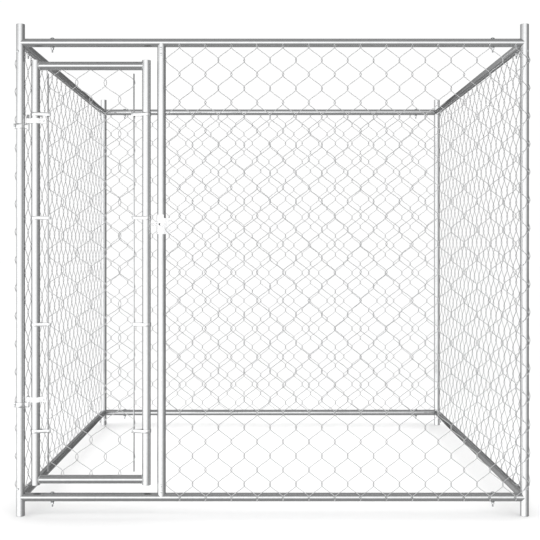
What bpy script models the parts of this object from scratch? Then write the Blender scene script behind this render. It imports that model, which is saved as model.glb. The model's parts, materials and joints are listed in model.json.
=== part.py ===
"""Outdoor dog kennel: tube frame, chain-link net on four sides and a hinged door in the front.

The kennel stands on the feet of its four corner posts. X runs along the front, from the hinge side to
the far side, Y runs from the front to the rear and Z runs up. The origin is on the ground, under the
middle of the whole kennel. All sizes are in metres.
"""

import math

import bmesh
import bpy
from mathutils import Matrix, Vector

# Clearances
JOINT_CLEAR = 0.0003
SPIGOT_CLEAR = 0.0006
BOLT_CLEAR = 0.0003
HINGE_CLEAR = 0.0004
LATCH_CLEAR = 0.0004

# Frame
KENNEL_WIDTH = 1.930
KENNEL_DEPTH = 1.930
POST_HEIGHT = 1.850
TUBE_DIAMETER = 0.032
TUBE_WALL = 0.0012
RAIL_TO_POST_END = 0.070
SPIGOT_LENGTH = 0.150
SPIGOT_WALL = 0.0012
RAIL_BOLT_TO_POST = 0.120
TUBE_SIDES = 16
SPIGOT_SIDES = 8

# Door
DOOR_OPENING_WIDTH = 0.499
DOOR_SIDE_GAP = 0.025
DOOR_GAP_BELOW = 0.030
DOOR_GAP_ABOVE = 0.050
DOOR_RAIL_TO_STILE_END = 0.020
DOOR_RAIL_SETBACK = 0.0045
DOOR_JOINT_CLEAR = 0.0007

# Tension bars and the bands that hold them to the stiles
BAR_DIAMETER = 0.006
BAR_TO_STILE = 0.047
BAR_TO_STILE_END = 0.0495
BAR_SIDES = 10
BAND_THICKNESS = 0.0015
BAND_HEIGHT = 0.013
LOW_BANDS_ABOVE_DOOR_END = (0.203, 0.604)
HIGH_BANDS_BELOW_DOOR_END = (0.593, 0.203)
BAND_LEG_START = 0.0425
BAND_RIVET_RADIUS = 0.0021
BAND_RIVET_HEAD = 0.001
BAND_LEG_END_MARGIN = 0.003

# Hinges, each a clamp with a pin on the post and a strap with an eye on the door
UPPER_HINGE_BELOW_DOOR_END = 0.238
LOWER_HINGE_ABOVE_DOOR_END = 0.3117
HINGE_PIN_ABOVE = {"upper": 0.034, "lower": 0.0233}
HINGE_PIN_BELOW = {"upper": 0.024, "lower": 0.0197}
HINGE_PIN_DIAMETER = 0.010
HINGE_PLATE_HEIGHT = 0.019
HINGE_PLATE_THICKNESS = 0.0025
HINGE_EYE_WALL = 0.0032
HINGE_LUG_WIDTH = 0.009
HINGE_BOSS_OVERLAP = 0.0012
HINGE_BOSS_STEP = 0.0005
POST_EAR_REACH = 0.026
POST_EAR_BOLT = 0.0227
DOOR_EAR_REACH = 0.040
DOOR_EAR_BOLT = 0.031
EAR_HALF_GAP = 0.001
EAR_ROOT = 0.001
PIN_SIDES = 12

# Latch, a clamped housing on the jamb with a sliding bolt
LATCH_HEIGHT = 1.0966
LATCH_HOUSING_BELOW_ROD = 0.0366
LATCH_HOUSING_HEIGHT = 0.060
LATCH_HOUSING_THICKNESS = 0.0027
LATCH_EAR_REACH = 0.034
LATCH_EAR_BOLT = 0.028
LATCH_EAR_BOLTS_ABOVE_HOUSING_END = {"lower": 0.014, "upper": 0.0515}
LATCH_LIP_HEIGHT = 0.013
LATCH_LIP_EDGE = 0.010
LATCH_ROD_DIAMETER = 0.008
LATCH_TIP_GAP = 0.002
LATCH_TAIL_REACH = 0.030
LATCH_TRAVEL = 0.010
STRIKE_SLOT_WIDTH = 0.010
STRIKE_SLOT_HEIGHT = 0.014
HANDLE_SLOT_CLEAR = 0.001
HANDLE_STEM_DIAMETER = 0.006
HANDLE_STEM_LENGTH = 0.027
HANDLE_KNOB_DIAMETER = 0.014
HANDLE_KNOB_LENGTH = 0.007
HANDLE_KNOB_EDGE = 0.0015
ROD_SIDES = 12

# Bolts
RAIL_BOLT_DIAMETER = 0.006
RAIL_BOLT_HEAD_DIAMETER = 0.015
RAIL_BOLT_HEAD_HEIGHT = 0.004
RAIL_BOLT_CROWN_DIAMETER = 0.009
RAIL_BOLT_CROWN_HEIGHT = 0.0008
RAIL_BOLT_WASHER_HEIGHT = 0.004
RAIL_NUT_DIAMETER = 0.011
RAIL_NUT_HEIGHT = 0.006
RAIL_BOLT_STUB = 0.010
EAR_BOLT_DIAMETER = 0.004
EAR_BOLT_HEAD_DIAMETER = 0.0064
EAR_BOLT_HEAD_HEIGHT = 0.003
EAR_BOLT_HEAD_TOP_DIAMETER = 0.0038
EAR_NUT_HEIGHT = 0.0035
BOLT_SIDES = 8

# Nets: the panels' real ones have about three times as many meshes each way, the door's has these.
# A strand is a thin strip as deep as the net, with about the metal of the wires that it stands for.
NET_THICKNESS = 0.013
NET_STRAND_WIDTH = 0.0014
SIDE_NET_COLUMNS = 13
FRONT_NET_COLUMNS = 9
PANEL_NET_PERIODS = 5
SIDE_NET_TO_POST = 0.024
FRONT_NET_TO_JAMB = 0.004
DOOR_NET_THICKNESS = 0.006
DOOR_NET_COLUMNS = 6
DOOR_NET_PERIODS = 12

# Sizes that follow from those above
TUBE_RADIUS = TUBE_DIAMETER / 2
BORE_RADIUS = TUBE_RADIUS - TUBE_WALL
SPIGOT_RADIUS = BORE_RADIUS - SPIGOT_CLEAR
BAR_RADIUS = BAR_DIAMETER / 2
HINGE_PIN_RADIUS = HINGE_PIN_DIAMETER / 2
LATCH_ROD_RADIUS = LATCH_ROD_DIAMETER / 2
STRAP_BORE_RADIUS = TUBE_RADIUS + JOINT_CLEAR
NET_GAP_TO_AXIS = TUBE_RADIUS + JOINT_CLEAR
LOW_RAIL_Z = RAIL_TO_POST_END
HIGH_RAIL_Z = POST_HEIGHT - RAIL_TO_POST_END

FRONT_REACH = HANDLE_STEM_LENGTH + HANDLE_KNOB_LENGTH
REAR_REACH = NET_GAP_TO_AXIS + NET_THICKNESS
POST_SPAN_X = KENNEL_WIDTH - TUBE_DIAMETER
POST_SPAN_Y = KENNEL_DEPTH - TUBE_DIAMETER
LEFT_X = -POST_SPAN_X / 2
RIGHT_X = POST_SPAN_X / 2
FRONT_Y = -POST_SPAN_Y / 2 + (FRONT_REACH - REAR_REACH) / 2
REAR_Y = FRONT_Y + POST_SPAN_Y

JAMB_X = LEFT_X + TUBE_DIAMETER + DOOR_OPENING_WIDTH
HINGE_X = LEFT_X + TUBE_RADIUS + DOOR_SIDE_GAP / 2
HINGE_STILE_X = LEFT_X + TUBE_DIAMETER + DOOR_SIDE_GAP
LATCH_STILE_X = JAMB_X - TUBE_DIAMETER - DOOR_SIDE_GAP
DOOR_BOTTOM_Z = LOW_RAIL_Z + TUBE_RADIUS + DOOR_GAP_BELOW
DOOR_TOP_Z = HIGH_RAIL_Z - TUBE_RADIUS - DOOR_GAP_ABOVE
DOOR_LOW_RAIL_Z = DOOR_BOTTOM_Z + DOOR_RAIL_TO_STILE_END
DOOR_HIGH_RAIL_Z = DOOR_TOP_Z - DOOR_RAIL_TO_STILE_END
BAND_HEIGHTS = ([DOOR_BOTTOM_Z + offset for offset in LOW_BANDS_ABOVE_DOOR_END]
                + [DOOR_TOP_Z - offset for offset in HIGH_BANDS_BELOW_DOOR_END])
HINGE_PLANES = {"upper": DOOR_TOP_Z - UPPER_HINGE_BELOW_DOOR_END,
                "lower": DOOR_BOTTOM_Z + LOWER_HINGE_ABOVE_DOOR_END}
LATCH_HOUSING_BOTTOM = LATCH_HEIGHT - LATCH_HOUSING_BELOW_ROD

EAST = Vector((1, 0, 0))
WEST = Vector((-1, 0, 0))
NORTH = Vector((0, 1, 0))
SOUTH = Vector((0, -1, 0))
UP = Vector((0, 0, 1))
SMOOTH_LIMIT = math.radians(35)
WELD_DISTANCE = 1e-6
STRAP_ARC_STEPS = 10
CUT_MARGIN = 0.01


def clear_scene():
    """Empty the scene."""
    for item in list(bpy.data.objects):
        bpy.data.objects.remove(item, do_unlink=True)


def make_material(name, colour, roughness, metallic):
    """Return a Principled material."""
    made = bpy.data.materials.new(name)
    made.use_nodes = True
    shader = made.node_tree.nodes["Principled BSDF"]
    shader.inputs["Base Color"].default_value = (*colour, 1)
    shader.inputs["Roughness"].default_value = roughness
    shader.inputs["Metallic"].default_value = metallic
    return made


def make_object(name, mesh_data, material):
    """Turn a bmesh into a smooth-shaded object of one material."""
    bmesh.ops.recalc_face_normals(mesh_data, faces=mesh_data.faces)
    mesh = bpy.data.meshes.new(name)
    mesh_data.to_mesh(mesh)
    mesh_data.free()
    mesh.materials.append(material)
    mesh.shade_smooth()
    mesh.set_sharp_from_angle(angle=SMOOTH_LIMIT)
    made = bpy.data.objects.new(name, mesh)
    bpy.context.scene.collection.objects.link(made)
    return made


def place(item, location, axis=UP, lateral=EAST, parent=None):
    """Put an object's Z along axis and its X along lateral, at a point of the kennel."""
    rotation = Matrix((lateral, axis.cross(lateral), axis)).transposed()
    item.rotation_euler = rotation.to_euler()
    item.location = Vector(location)
    if parent is not None:
        item.parent = parent
        item.location = Vector(location) - parent.location
    return item


def combine(item, other, operation):
    """Join or cut an object with a guide that isn't part of the kennel."""
    other.hide_render = True
    other.display_type = "WIRE"
    step = item.modifiers.new(other.name, "BOOLEAN")
    step.operation = operation
    step.solver = "EXACT"
    step.object = other


def pivot(name, location):
    """Return an empty on a joint's axis, for the pieces that move with the joint."""
    made = bpy.data.objects.new(name, None)
    made.location = location
    bpy.context.scene.collection.objects.link(made)
    return made


def add_cylinder(mesh_data, radius, bottom, top, sides, centre=(0, 0), axis="Z"):
    """Add a closed cylinder along an axis, with a corner of its outline on the next axis."""
    turn = {"Z": Matrix(), "X": Matrix.Rotation(math.radians(90), 4, "Y"),
            "Y": Matrix.Rotation(math.radians(-90), 4, "X")}[axis]
    middle = {"Z": (centre[0], centre[1], (bottom + top) / 2),
              "X": ((bottom + top) / 2, centre[0], centre[1]),
              "Y": (centre[0], (bottom + top) / 2, centre[1])}[axis]
    bmesh.ops.create_cone(
        mesh_data, cap_ends=True, segments=sides, radius1=radius, radius2=radius,
        depth=top - bottom, matrix=Matrix.Translation(middle) @ turn)


def add_box(mesh_data, low, high):
    """Add a closed box between two corners."""
    low, high = Vector(low), Vector(high)
    size = Matrix.Diagonal((high - low).to_4d())
    size[3][3] = 1
    bmesh.ops.create_cube(mesh_data, size=1, matrix=Matrix.Translation((low + high) / 2) @ size)


def extrude_faces(mesh_data, offset):
    """Give flat faces a thickness."""
    made = bmesh.ops.extrude_face_region(mesh_data, geom=mesh_data.faces[:])
    moved = [item for item in made["geom"] if isinstance(item, bmesh.types.BMVert)]
    bmesh.ops.translate(mesh_data, vec=offset, verts=moved)


def prism(outline, bottom, top):
    """Return a bmesh of a flat outline extruded along Z."""
    mesh_data = bmesh.new()
    mesh_data.faces.new([mesh_data.verts.new((x, y, bottom)) for x, y in outline])
    extrude_faces(mesh_data, (0, 0, top - bottom))
    return mesh_data


def turned(profile, sides):
    """Return a bmesh of a profile of radius and height pairs, turned about Z."""
    mesh_data = bmesh.new()
    points = [mesh_data.verts.new((radius, 0, height)) for radius, height in profile]
    edges = [mesh_data.edges.new(pair) for pair in zip(points, points[1:])]
    bmesh.ops.spin(mesh_data, geom=points + edges, cent=(0, 0, 0), axis=(0, 0, 1),
                   angle=math.tau, steps=sides)
    bmesh.ops.remove_doubles(mesh_data, verts=mesh_data.verts, dist=WELD_DISTANCE)
    return mesh_data


# Tubes

def saddle(clearance, setback=0.0):
    """Return how far a tube's end stops short of another tube's axis, by the place across it."""
    def trim(across):
        return math.sqrt(max((TUBE_RADIUS + clearance) ** 2 - (across + setback) ** 2, 0))
    return trim


def corner_saddle(across):
    """Trim a rail round its post, and at 45 degrees against the other rail of that corner."""
    return max(saddle(JOINT_CLEAR)(across), across + JOINT_CLEAR)


def square_end(across):
    """Leave a tube's end square."""
    return 0.0


def tube(name, length, start_trim, end_trim, material):
    """Return an open tube along Z, whose ends are trimmed by the place across it."""
    mesh_data = bmesh.new()
    loops = []
    for radius, at_end in ((TUBE_RADIUS, False), (TUBE_RADIUS, True), (BORE_RADIUS, True),
                           (BORE_RADIUS, False)):
        loop = []
        for step in range(TUBE_SIDES):
            angle = math.tau * step / TUBE_SIDES
            across = radius * math.cos(angle)
            height = length - end_trim(across) if at_end else start_trim(across)
            loop.append(mesh_data.verts.new((across, radius * math.sin(angle), height)))
        loops.append(loop)
    for loop, following in zip(loops, loops[1:] + loops[:1]):
        for step in range(TUBE_SIDES):
            after = (step + 1) % TUBE_SIDES
            mesh_data.faces.new((loop[step], loop[after], following[after], following[step]))
    bmesh.ops.triangulate(mesh_data, faces=mesh_data.faces)
    return make_object(name, mesh_data, material)


def bolt_hole_radius():
    """Return the radius of the holes for the rail bolts."""
    return RAIL_BOLT_DIAMETER / 2 + BOLT_CLEAR


def corner_post(name, x, y, material):
    """Make a post with four welded spigots, which the rails slide over."""
    mesh_data = bmesh.new()
    add_cylinder(mesh_data, TUBE_RADIUS, 0, POST_HEIGHT, TUBE_SIDES)
    post = place(make_object(name, mesh_data, material), (x, y, 0))

    towards_x = math.copysign(1, -x)
    towards_y = math.copysign(1, -y)
    bores = bmesh.new()
    add_cylinder(bores, BORE_RADIUS, -CUT_MARGIN, POST_HEIGHT + CUT_MARGIN, TUBE_SIDES)
    holes = bmesh.new()
    for axis, sign in (("X", towards_x), ("Y", towards_y)):
        spigots = bmesh.new()
        for height in (LOW_RAIL_Z, HIGH_RAIL_Z):
            ends = sorted((0, sign * SPIGOT_LENGTH))
            bore_ends = sorted((sign * TUBE_RADIUS, sign * (SPIGOT_LENGTH + CUT_MARGIN)))
            centre = (0, height)
            add_cylinder(spigots, SPIGOT_RADIUS, *ends, SPIGOT_SIDES, centre, axis)
            add_cylinder(bores, SPIGOT_RADIUS - SPIGOT_WALL, *bore_ends, SPIGOT_SIDES, centre, axis)
            hole_at = sign * RAIL_BOLT_TO_POST
            hole_centre = (hole_at, 0) if axis == "X" else (0, hole_at)
            add_cylinder(holes, bolt_hole_radius(), height - TUBE_RADIUS, height + TUBE_RADIUS,
                         BOLT_SIDES, hole_centre)
        guide = place(make_object(f"{name}_spigots_{axis}", spigots, material), (x, y, 0))
        combine(post, guide, "UNION")
    combine(post, place(make_object(f"{name}_bores", bores, material), (x, y, 0)), "DIFFERENCE")
    combine(post, place(make_object(f"{name}_holes", holes, material), (x, y, 0)), "DIFFERENCE")
    return post


def frame_rail(name, start, axis, inward, material):
    """Make a rail between two posts, trimmed to them and to the rails round the corner."""
    length = POST_SPAN_X if axis is EAST else POST_SPAN_Y
    rail = place(tube(name, length, corner_saddle, corner_saddle, material), start, axis, inward)
    holes = bmesh.new()
    reach = TUBE_RADIUS + CUT_MARGIN
    for distance in (RAIL_BOLT_TO_POST, length - RAIL_BOLT_TO_POST):
        add_cylinder(holes, bolt_hole_radius(), -reach, reach, BOLT_SIDES, (0, distance), "Y")
    guide = place(make_object(f"{name}_holes", holes, material), start, axis, inward)
    combine(rail, guide, "DIFFERENCE")
    return rail


# Straps and bands

def strap_outline(thickness, half_gap, leg_start, leg_end):
    """Return the outline of a strip bent round a tube, closing on two parallel legs along X."""
    def side(radius, gap):
        reach = math.hypot(leg_start, gap)
        first = math.atan2(gap, leg_start) + math.acos(min(radius / reach, 1))
        step = (math.tau - 2 * first) / STRAP_ARC_STEPS
        corner = radius / math.cos(step / 2)
        arc = [(corner * math.cos(first + step * index), corner * math.sin(first + step * index))
               for index in range(STRAP_ARC_STEPS + 1)]
        return [(leg_end, gap), (leg_start, gap), *arc, (leg_start, -gap), (leg_end, -gap)]
    outer = side(STRAP_BORE_RADIUS + thickness, half_gap + thickness)
    inner = side(STRAP_BORE_RADIUS, half_gap)
    return outer + inner[::-1]


def ear_root(thickness):
    """Return where a clamp's ears start, just outside its bend."""
    return STRAP_BORE_RADIUS + thickness + EAR_ROOT


def tension_band(name, stile_x, towards_bar, height, parent, material):
    """Make a band round a stile, whose riveted legs hold the tension bar."""
    half_gap = BAR_RADIUS + JOINT_CLEAR
    rivet_x = BAR_TO_STILE + BAR_RADIUS + JOINT_CLEAR + BAND_RIVET_RADIUS
    outline = strap_outline(BAND_THICKNESS, half_gap, BAND_LEG_START, rivet_x + BAND_LEG_END_MARGIN)
    band = make_object(name, prism(outline, -BAND_HEIGHT / 2, BAND_HEIGHT / 2), material)
    rivet = bmesh.new()
    rivet_reach = half_gap + BAND_THICKNESS + BAND_RIVET_HEAD
    add_cylinder(rivet, BAND_RIVET_RADIUS, -rivet_reach, rivet_reach, BOLT_SIDES, (rivet_x, 0), "Y")
    guide = make_object(f"{name}_rivet", rivet, material)
    for item in (band, guide):
        place(item, (stile_x, FRONT_Y, height), UP, towards_bar, parent)
    combine(band, guide, "UNION")
    return band


def ear_bolt(name, location, thickness, parent, material):
    """Make the bolt and nut that draw a clamp's two ears together."""
    reach = EAR_HALF_GAP + thickness + JOINT_CLEAR
    head = EAR_BOLT_HEAD_DIAMETER / 2
    shank = EAR_BOLT_DIAMETER / 2
    head_top = reach + EAR_BOLT_HEAD_HEIGHT
    profile = [(0, head_top), (EAR_BOLT_HEAD_TOP_DIAMETER / 2, head_top),
               (head, reach), (shank, reach), (shank, -reach), (head, -reach),
               (head, -reach - EAR_NUT_HEIGHT), (0, -reach - EAR_NUT_HEIGHT)]
    made = make_object(name, turned(profile, BOLT_SIDES), material)
    return place(made, location, SOUTH, EAST, parent)


def clamp_with_boss(name, boss_shape, ear_reach, ear_bolt_x, location, legs, parent, material,
                    pin=None, eye_radius=None, pin_x=0.0):
    """Make a hinge clamp, with a boss on its closed side that carries a pin or an eye."""
    half = HINGE_PLATE_HEIGHT / 2
    thickness = HINGE_PLATE_THICKNESS
    outline = strap_outline(thickness, EAR_HALF_GAP, ear_root(thickness), ear_reach)
    clamp = make_object(name, prism(outline, -half, half), material)
    boss_half = half - HINGE_BOSS_STEP
    boss = make_object(f"{name}_boss", prism(boss_shape, -boss_half, boss_half), material)
    hole = bmesh.new()
    reach = EAR_HALF_GAP + thickness + CUT_MARGIN
    add_cylinder(hole, EAR_BOLT_DIAMETER / 2 + BOLT_CLEAR, -reach, reach, BOLT_SIDES,
                 (ear_bolt_x, 0), "Y")
    guides = [("DIFFERENCE", make_object(f"{name}_hole", hole, material)), ("UNION", boss)]
    if pin is not None:
        shaft = bmesh.new()
        add_cylinder(shaft, HINGE_PIN_RADIUS, *pin, PIN_SIDES, (pin_x, 0))
        guides.append(("UNION", make_object(f"{name}_pin", shaft, material)))
    if eye_radius is not None:
        eye = bmesh.new()
        add_cylinder(eye, eye_radius, -half - CUT_MARGIN, half + CUT_MARGIN, PIN_SIDES, (pin_x, 0))
        guides.append(("DIFFERENCE", make_object(f"{name}_eye", eye, material)))
    place(clamp, location, UP, legs, parent)
    for operation, guide in guides:
        place(guide, location, UP, legs, parent)
        combine(clamp, guide, operation)
    return clamp


def boss_outline(pin_distance, round_radius):
    """Return the outline of a boss from a clamp's closed side to a round end at the pin."""
    half_width = HINGE_LUG_WIDTH / 2
    root = -(STRAP_BORE_RADIUS + HINGE_PLATE_THICKNESS - HINGE_BOSS_OVERLAP)
    start = math.asin(half_width / round_radius)
    points = [(root, -half_width), (root, half_width)]
    for index in range(PIN_SIDES + 1):
        angle = start + (math.tau - 2 * start) * index / PIN_SIDES
        points.append((-pin_distance + round_radius * math.cos(angle), round_radius * math.sin(angle)))
    return points


def hinge(side, door, fitting, bolt_steel):
    """Make one hinge: the pin clamp on the post, the eye strap on the door and their bolts."""
    plane = HINGE_PLANES[side]
    below = plane - JOINT_CLEAR - HINGE_PLATE_HEIGHT / 2
    above = plane + JOINT_CLEAR + HINGE_PLATE_HEIGHT / 2
    from_post = HINGE_X - LEFT_X
    from_stile = HINGE_STILE_X - HINGE_X
    pin_ends = (plane - HINGE_PIN_BELOW[side] - below, plane + HINGE_PIN_ABOVE[side] - below)
    clamp_with_boss(
        f"{side}_hinge_pin_clamp", boss_outline(from_post, HINGE_PIN_RADIUS), POST_EAR_REACH,
        POST_EAR_BOLT, (LEFT_X, FRONT_Y, below), WEST, None, fitting, pin=pin_ends, pin_x=-from_post)
    eye_radius = HINGE_PIN_RADIUS + HINGE_CLEAR
    clamp_with_boss(
        f"{side}_hinge_eye_strap", boss_outline(from_stile, eye_radius + HINGE_EYE_WALL),
        DOOR_EAR_REACH, DOOR_EAR_BOLT, (HINGE_STILE_X, FRONT_Y, above), EAST, door, fitting,
        eye_radius=eye_radius, pin_x=-from_stile)
    ear_bolt(f"{side}_hinge_post_bolt", (LEFT_X - POST_EAR_BOLT, FRONT_Y, below),
             HINGE_PLATE_THICKNESS, None, bolt_steel)
    ear_bolt(f"{side}_hinge_door_bolt", (HINGE_STILE_X + DOOR_EAR_BOLT, FRONT_Y, above),
             HINGE_PLATE_THICKNESS, door, bolt_steel)


# Door

def door_frame(door, steel):
    """Make the two stiles and two rails of the door."""
    height = DOOR_TOP_Z - DOOR_BOTTOM_Z
    hinge_stile = tube("door_hinge_stile", height, square_end, square_end, steel)
    place(hinge_stile, (HINGE_STILE_X, FRONT_Y, DOOR_BOTTOM_Z), parent=door)
    latch_stile = tube("door_latch_stile", height, square_end, square_end, steel)
    place(latch_stile, (LATCH_STILE_X, FRONT_Y, DOOR_BOTTOM_Z), parent=door)
    slot = bmesh.new()
    slot_z = LATCH_HEIGHT - DOOR_BOTTOM_Z
    add_box(slot, (0, -STRIKE_SLOT_WIDTH / 2, slot_z - STRIKE_SLOT_HEIGHT / 2),
            (TUBE_RADIUS + CUT_MARGIN, STRIKE_SLOT_WIDTH / 2, slot_z + STRIKE_SLOT_HEIGHT / 2))
    guide = make_object("door_latch_stile_slot", slot, steel)
    place(guide, (LATCH_STILE_X, FRONT_Y, DOOR_BOTTOM_Z), parent=door)
    combine(latch_stile, guide, "DIFFERENCE")
    trim = saddle(DOOR_JOINT_CLEAR, DOOR_RAIL_SETBACK)
    for name, rail_z in (("door_bottom_rail", DOOR_LOW_RAIL_Z), ("door_top_rail", DOOR_HIGH_RAIL_Z)):
        rail = tube(name, LATCH_STILE_X - HINGE_STILE_X, trim, trim, steel)
        place(rail, (HINGE_STILE_X, FRONT_Y + DOOR_RAIL_SETBACK, rail_z), EAST, NORTH, door)


def door_net_holders(door, steel, fitting):
    """Make the tension bars and their bands."""
    for side, stile_x, inward in (("hinge", HINGE_STILE_X, EAST), ("latch", LATCH_STILE_X, WEST)):
        bar = bmesh.new()
        length = DOOR_TOP_Z - DOOR_BOTTOM_Z - 2 * BAR_TO_STILE_END
        add_cylinder(bar, BAR_RADIUS, 0, length, BAR_SIDES)
        bar_x = stile_x + inward.x * BAR_TO_STILE
        place(make_object(f"{side}_tension_bar", bar, steel),
              (bar_x, FRONT_Y, DOOR_BOTTOM_Z + BAR_TO_STILE_END), parent=door)
        for number, height in enumerate(BAND_HEIGHTS, 1):
            tension_band(f"{side}_tension_band_{number}", stile_x, inward, height, door, fitting)


# Latch

def latch_housing(steel):
    """Make the sleeve clamped round the jamb, slotted for the handle and bored for the bolt."""
    base = (JAMB_X, FRONT_Y, LATCH_HOUSING_BOTTOM)
    outer = STRAP_BORE_RADIUS + LATCH_HOUSING_THICKNESS
    outline = strap_outline(LATCH_HOUSING_THICKNESS, EAR_HALF_GAP,
                            ear_root(LATCH_HOUSING_THICKNESS), LATCH_EAR_REACH)
    full_height = LATCH_HOUSING_HEIGHT + LATCH_LIP_HEIGHT
    housing = place(make_object("latch_housing", prism(outline, 0, full_height), steel), base)
    reach = LATCH_EAR_REACH + CUT_MARGIN
    top = full_height + CUT_MARGIN
    notch = [(-reach, reach), (-reach, 0), (LATCH_LIP_EDGE, 0), (LATCH_LIP_EDGE, -reach),
             (reach, -reach), (reach, reach)]
    above = prism(notch, LATCH_HOUSING_HEIGHT, top)
    rod_z = LATCH_HEIGHT - LATCH_HOUSING_BOTTOM
    bore = bmesh.new()
    add_cylinder(bore, LATCH_ROD_RADIUS + LATCH_CLEAR, -reach, reach, ROD_SIDES, (0, rod_z), "X")
    slot = bmesh.new()
    low, high = handle_slot(rod_z, outer)
    add_box(slot, low, high)
    holes = bmesh.new()
    for height in LATCH_EAR_BOLTS_ABOVE_HOUSING_END.values():
        add_cylinder(holes, EAR_BOLT_DIAMETER / 2 + BOLT_CLEAR, -outer, outer, BOLT_SIDES,
                     (LATCH_EAR_BOLT, height), "Y")
    for name, mesh_data in (("lip", above), ("bore", bore), ("slot", slot), ("holes", holes)):
        guide = place(make_object(f"latch_housing_{name}", mesh_data, steel), base)
        combine(housing, guide, "DIFFERENCE")
    return housing


def handle_slot(rod_z, outer):
    """Return the corners of the slot that the handle's stem travels in, in front of the bolt."""
    half_width = (LATCH_TRAVEL + HANDLE_STEM_DIAMETER) / 2 + HANDLE_SLOT_CLEAR
    half_height = HANDLE_STEM_DIAMETER / 2 + HANDLE_SLOT_CLEAR
    return ((-half_width, -outer - CUT_MARGIN, rod_z - half_height),
            (half_width, -LATCH_ROD_RADIUS, rod_z + half_height))


def door_jamb(steel):
    """Make the post between the front rails that the door closes on."""
    base = (JAMB_X, FRONT_Y, LOW_RAIL_Z)
    trim = saddle(JOINT_CLEAR)
    jamb = place(tube("door_jamb_post", HIGH_RAIL_Z - LOW_RAIL_Z, trim, trim, steel), base,
                 UP, NORTH)
    rod_z = LATCH_HEIGHT - LOW_RAIL_Z
    bore = bmesh.new()
    reach = TUBE_RADIUS + CUT_MARGIN
    add_cylinder(bore, LATCH_ROD_RADIUS + LATCH_CLEAR, -reach, reach, ROD_SIDES, (0, rod_z), "X")
    slot = bmesh.new()
    low, high = handle_slot(rod_z, TUBE_RADIUS)
    add_box(slot, low, high)
    for name, mesh_data in (("bore", bore), ("slot", slot)):
        guide = place(make_object(f"door_jamb_{name}", mesh_data, steel), base)
        combine(jamb, guide, "DIFFERENCE")
    return jamb


def latch_bolt(slide, material):
    """Make the sliding rod with its handle, drawn back just clear of the door."""
    tip = LATCH_STILE_X + TUBE_RADIUS + LATCH_TIP_GAP - JAMB_X
    rod = bmesh.new()
    add_cylinder(rod, LATCH_ROD_RADIUS, tip, LATCH_TAIL_REACH, ROD_SIDES, (0, 0), "X")
    bolt = place(make_object("latch_bolt", rod, material), slide.location, parent=slide)
    knob_radius = HANDLE_KNOB_DIAMETER / 2
    stem_radius = HANDLE_STEM_DIAMETER / 2
    front = HANDLE_STEM_LENGTH + HANDLE_KNOB_LENGTH
    profile = [(0, 0), (stem_radius, 0), (stem_radius, HANDLE_STEM_LENGTH),
               (knob_radius, HANDLE_STEM_LENGTH), (knob_radius, front - HANDLE_KNOB_EDGE),
               (knob_radius - HANDLE_KNOB_EDGE, front), (0, front)]
    handle = make_object("latch_bolt_handle", turned(profile, ROD_SIDES), material)
    handle_base = slide.location + EAST * (LATCH_TRAVEL / 2)
    place(handle, handle_base, SOUTH, EAST, slide)
    combine(bolt, handle, "UNION")
    return bolt


# Rail bolts

def rail_bolt(name, location, material):
    """Make a domed bolt through a rail and its spigot, with a cone washer and a nut below."""
    top = TUBE_RADIUS + JOINT_CLEAR
    head = RAIL_BOLT_HEAD_DIAMETER / 2
    shank = RAIL_BOLT_DIAMETER / 2
    nut = RAIL_NUT_DIAMETER / 2
    washer_end = -top - RAIL_BOLT_WASHER_HEIGHT
    nut_end = washer_end - RAIL_NUT_HEIGHT
    stub_end = nut_end - RAIL_BOLT_STUB
    head_top = top + RAIL_BOLT_HEAD_HEIGHT
    profile = [(0, head_top), (RAIL_BOLT_CROWN_DIAMETER / 2, head_top - RAIL_BOLT_CROWN_HEIGHT),
               (head, top), (shank, top), (shank, -top), (head, -top), (nut, washer_end),
               (nut, nut_end), (shank, nut_end), (shank, stub_end), (0, stub_end)]
    return place(make_object(name, turned(profile, BOLT_SIDES), material), location)


# Nets

def net(name, width, height, thickness, columns, periods, material):
    """Return a lattice of crossing strands in its own XZ plane, with its thickness along Y."""
    rows = 2 * periods
    step_x = width / columns
    step_z = height / rows
    slope = math.atan2(step_z, step_x)
    half_x = NET_STRAND_WIDTH / 2 / math.sin(slope)
    half_z = NET_STRAND_WIDTH / 2 / math.cos(slope)
    mesh_data = bmesh.new()
    crossings = {}
    for column in range(columns + 1):
        for row in range(rows + 1):
            if (column + row) % 2:
                continue
            x, z = column * step_x, row * step_z
            corners = {}
            if column < columns:
                corners["right"] = mesh_data.verts.new((x + half_x, 0, z))
            if row < rows:
                corners["top"] = mesh_data.verts.new((x, 0, z + half_z))
            if column > 0:
                corners["left"] = mesh_data.verts.new((x - half_x, 0, z))
            if row > 0:
                corners["bottom"] = mesh_data.verts.new((x, 0, z - half_z))
            if len(corners) > 2:
                mesh_data.faces.new(corners.values())
            crossings[column, row] = corners
    for (column, row), here in crossings.items():
        rising = crossings.get((column + 1, row + 1))
        if rising:
            mesh_data.faces.new((here["right"], rising["bottom"], rising["left"], here["top"]))
        falling = crossings.get((column + 1, row - 1))
        if falling:
            mesh_data.faces.new((here["bottom"], falling["left"], falling["top"], here["right"]))
    extrude_faces(mesh_data, (0, thickness, 0))
    return make_object(name, mesh_data, material)


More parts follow.
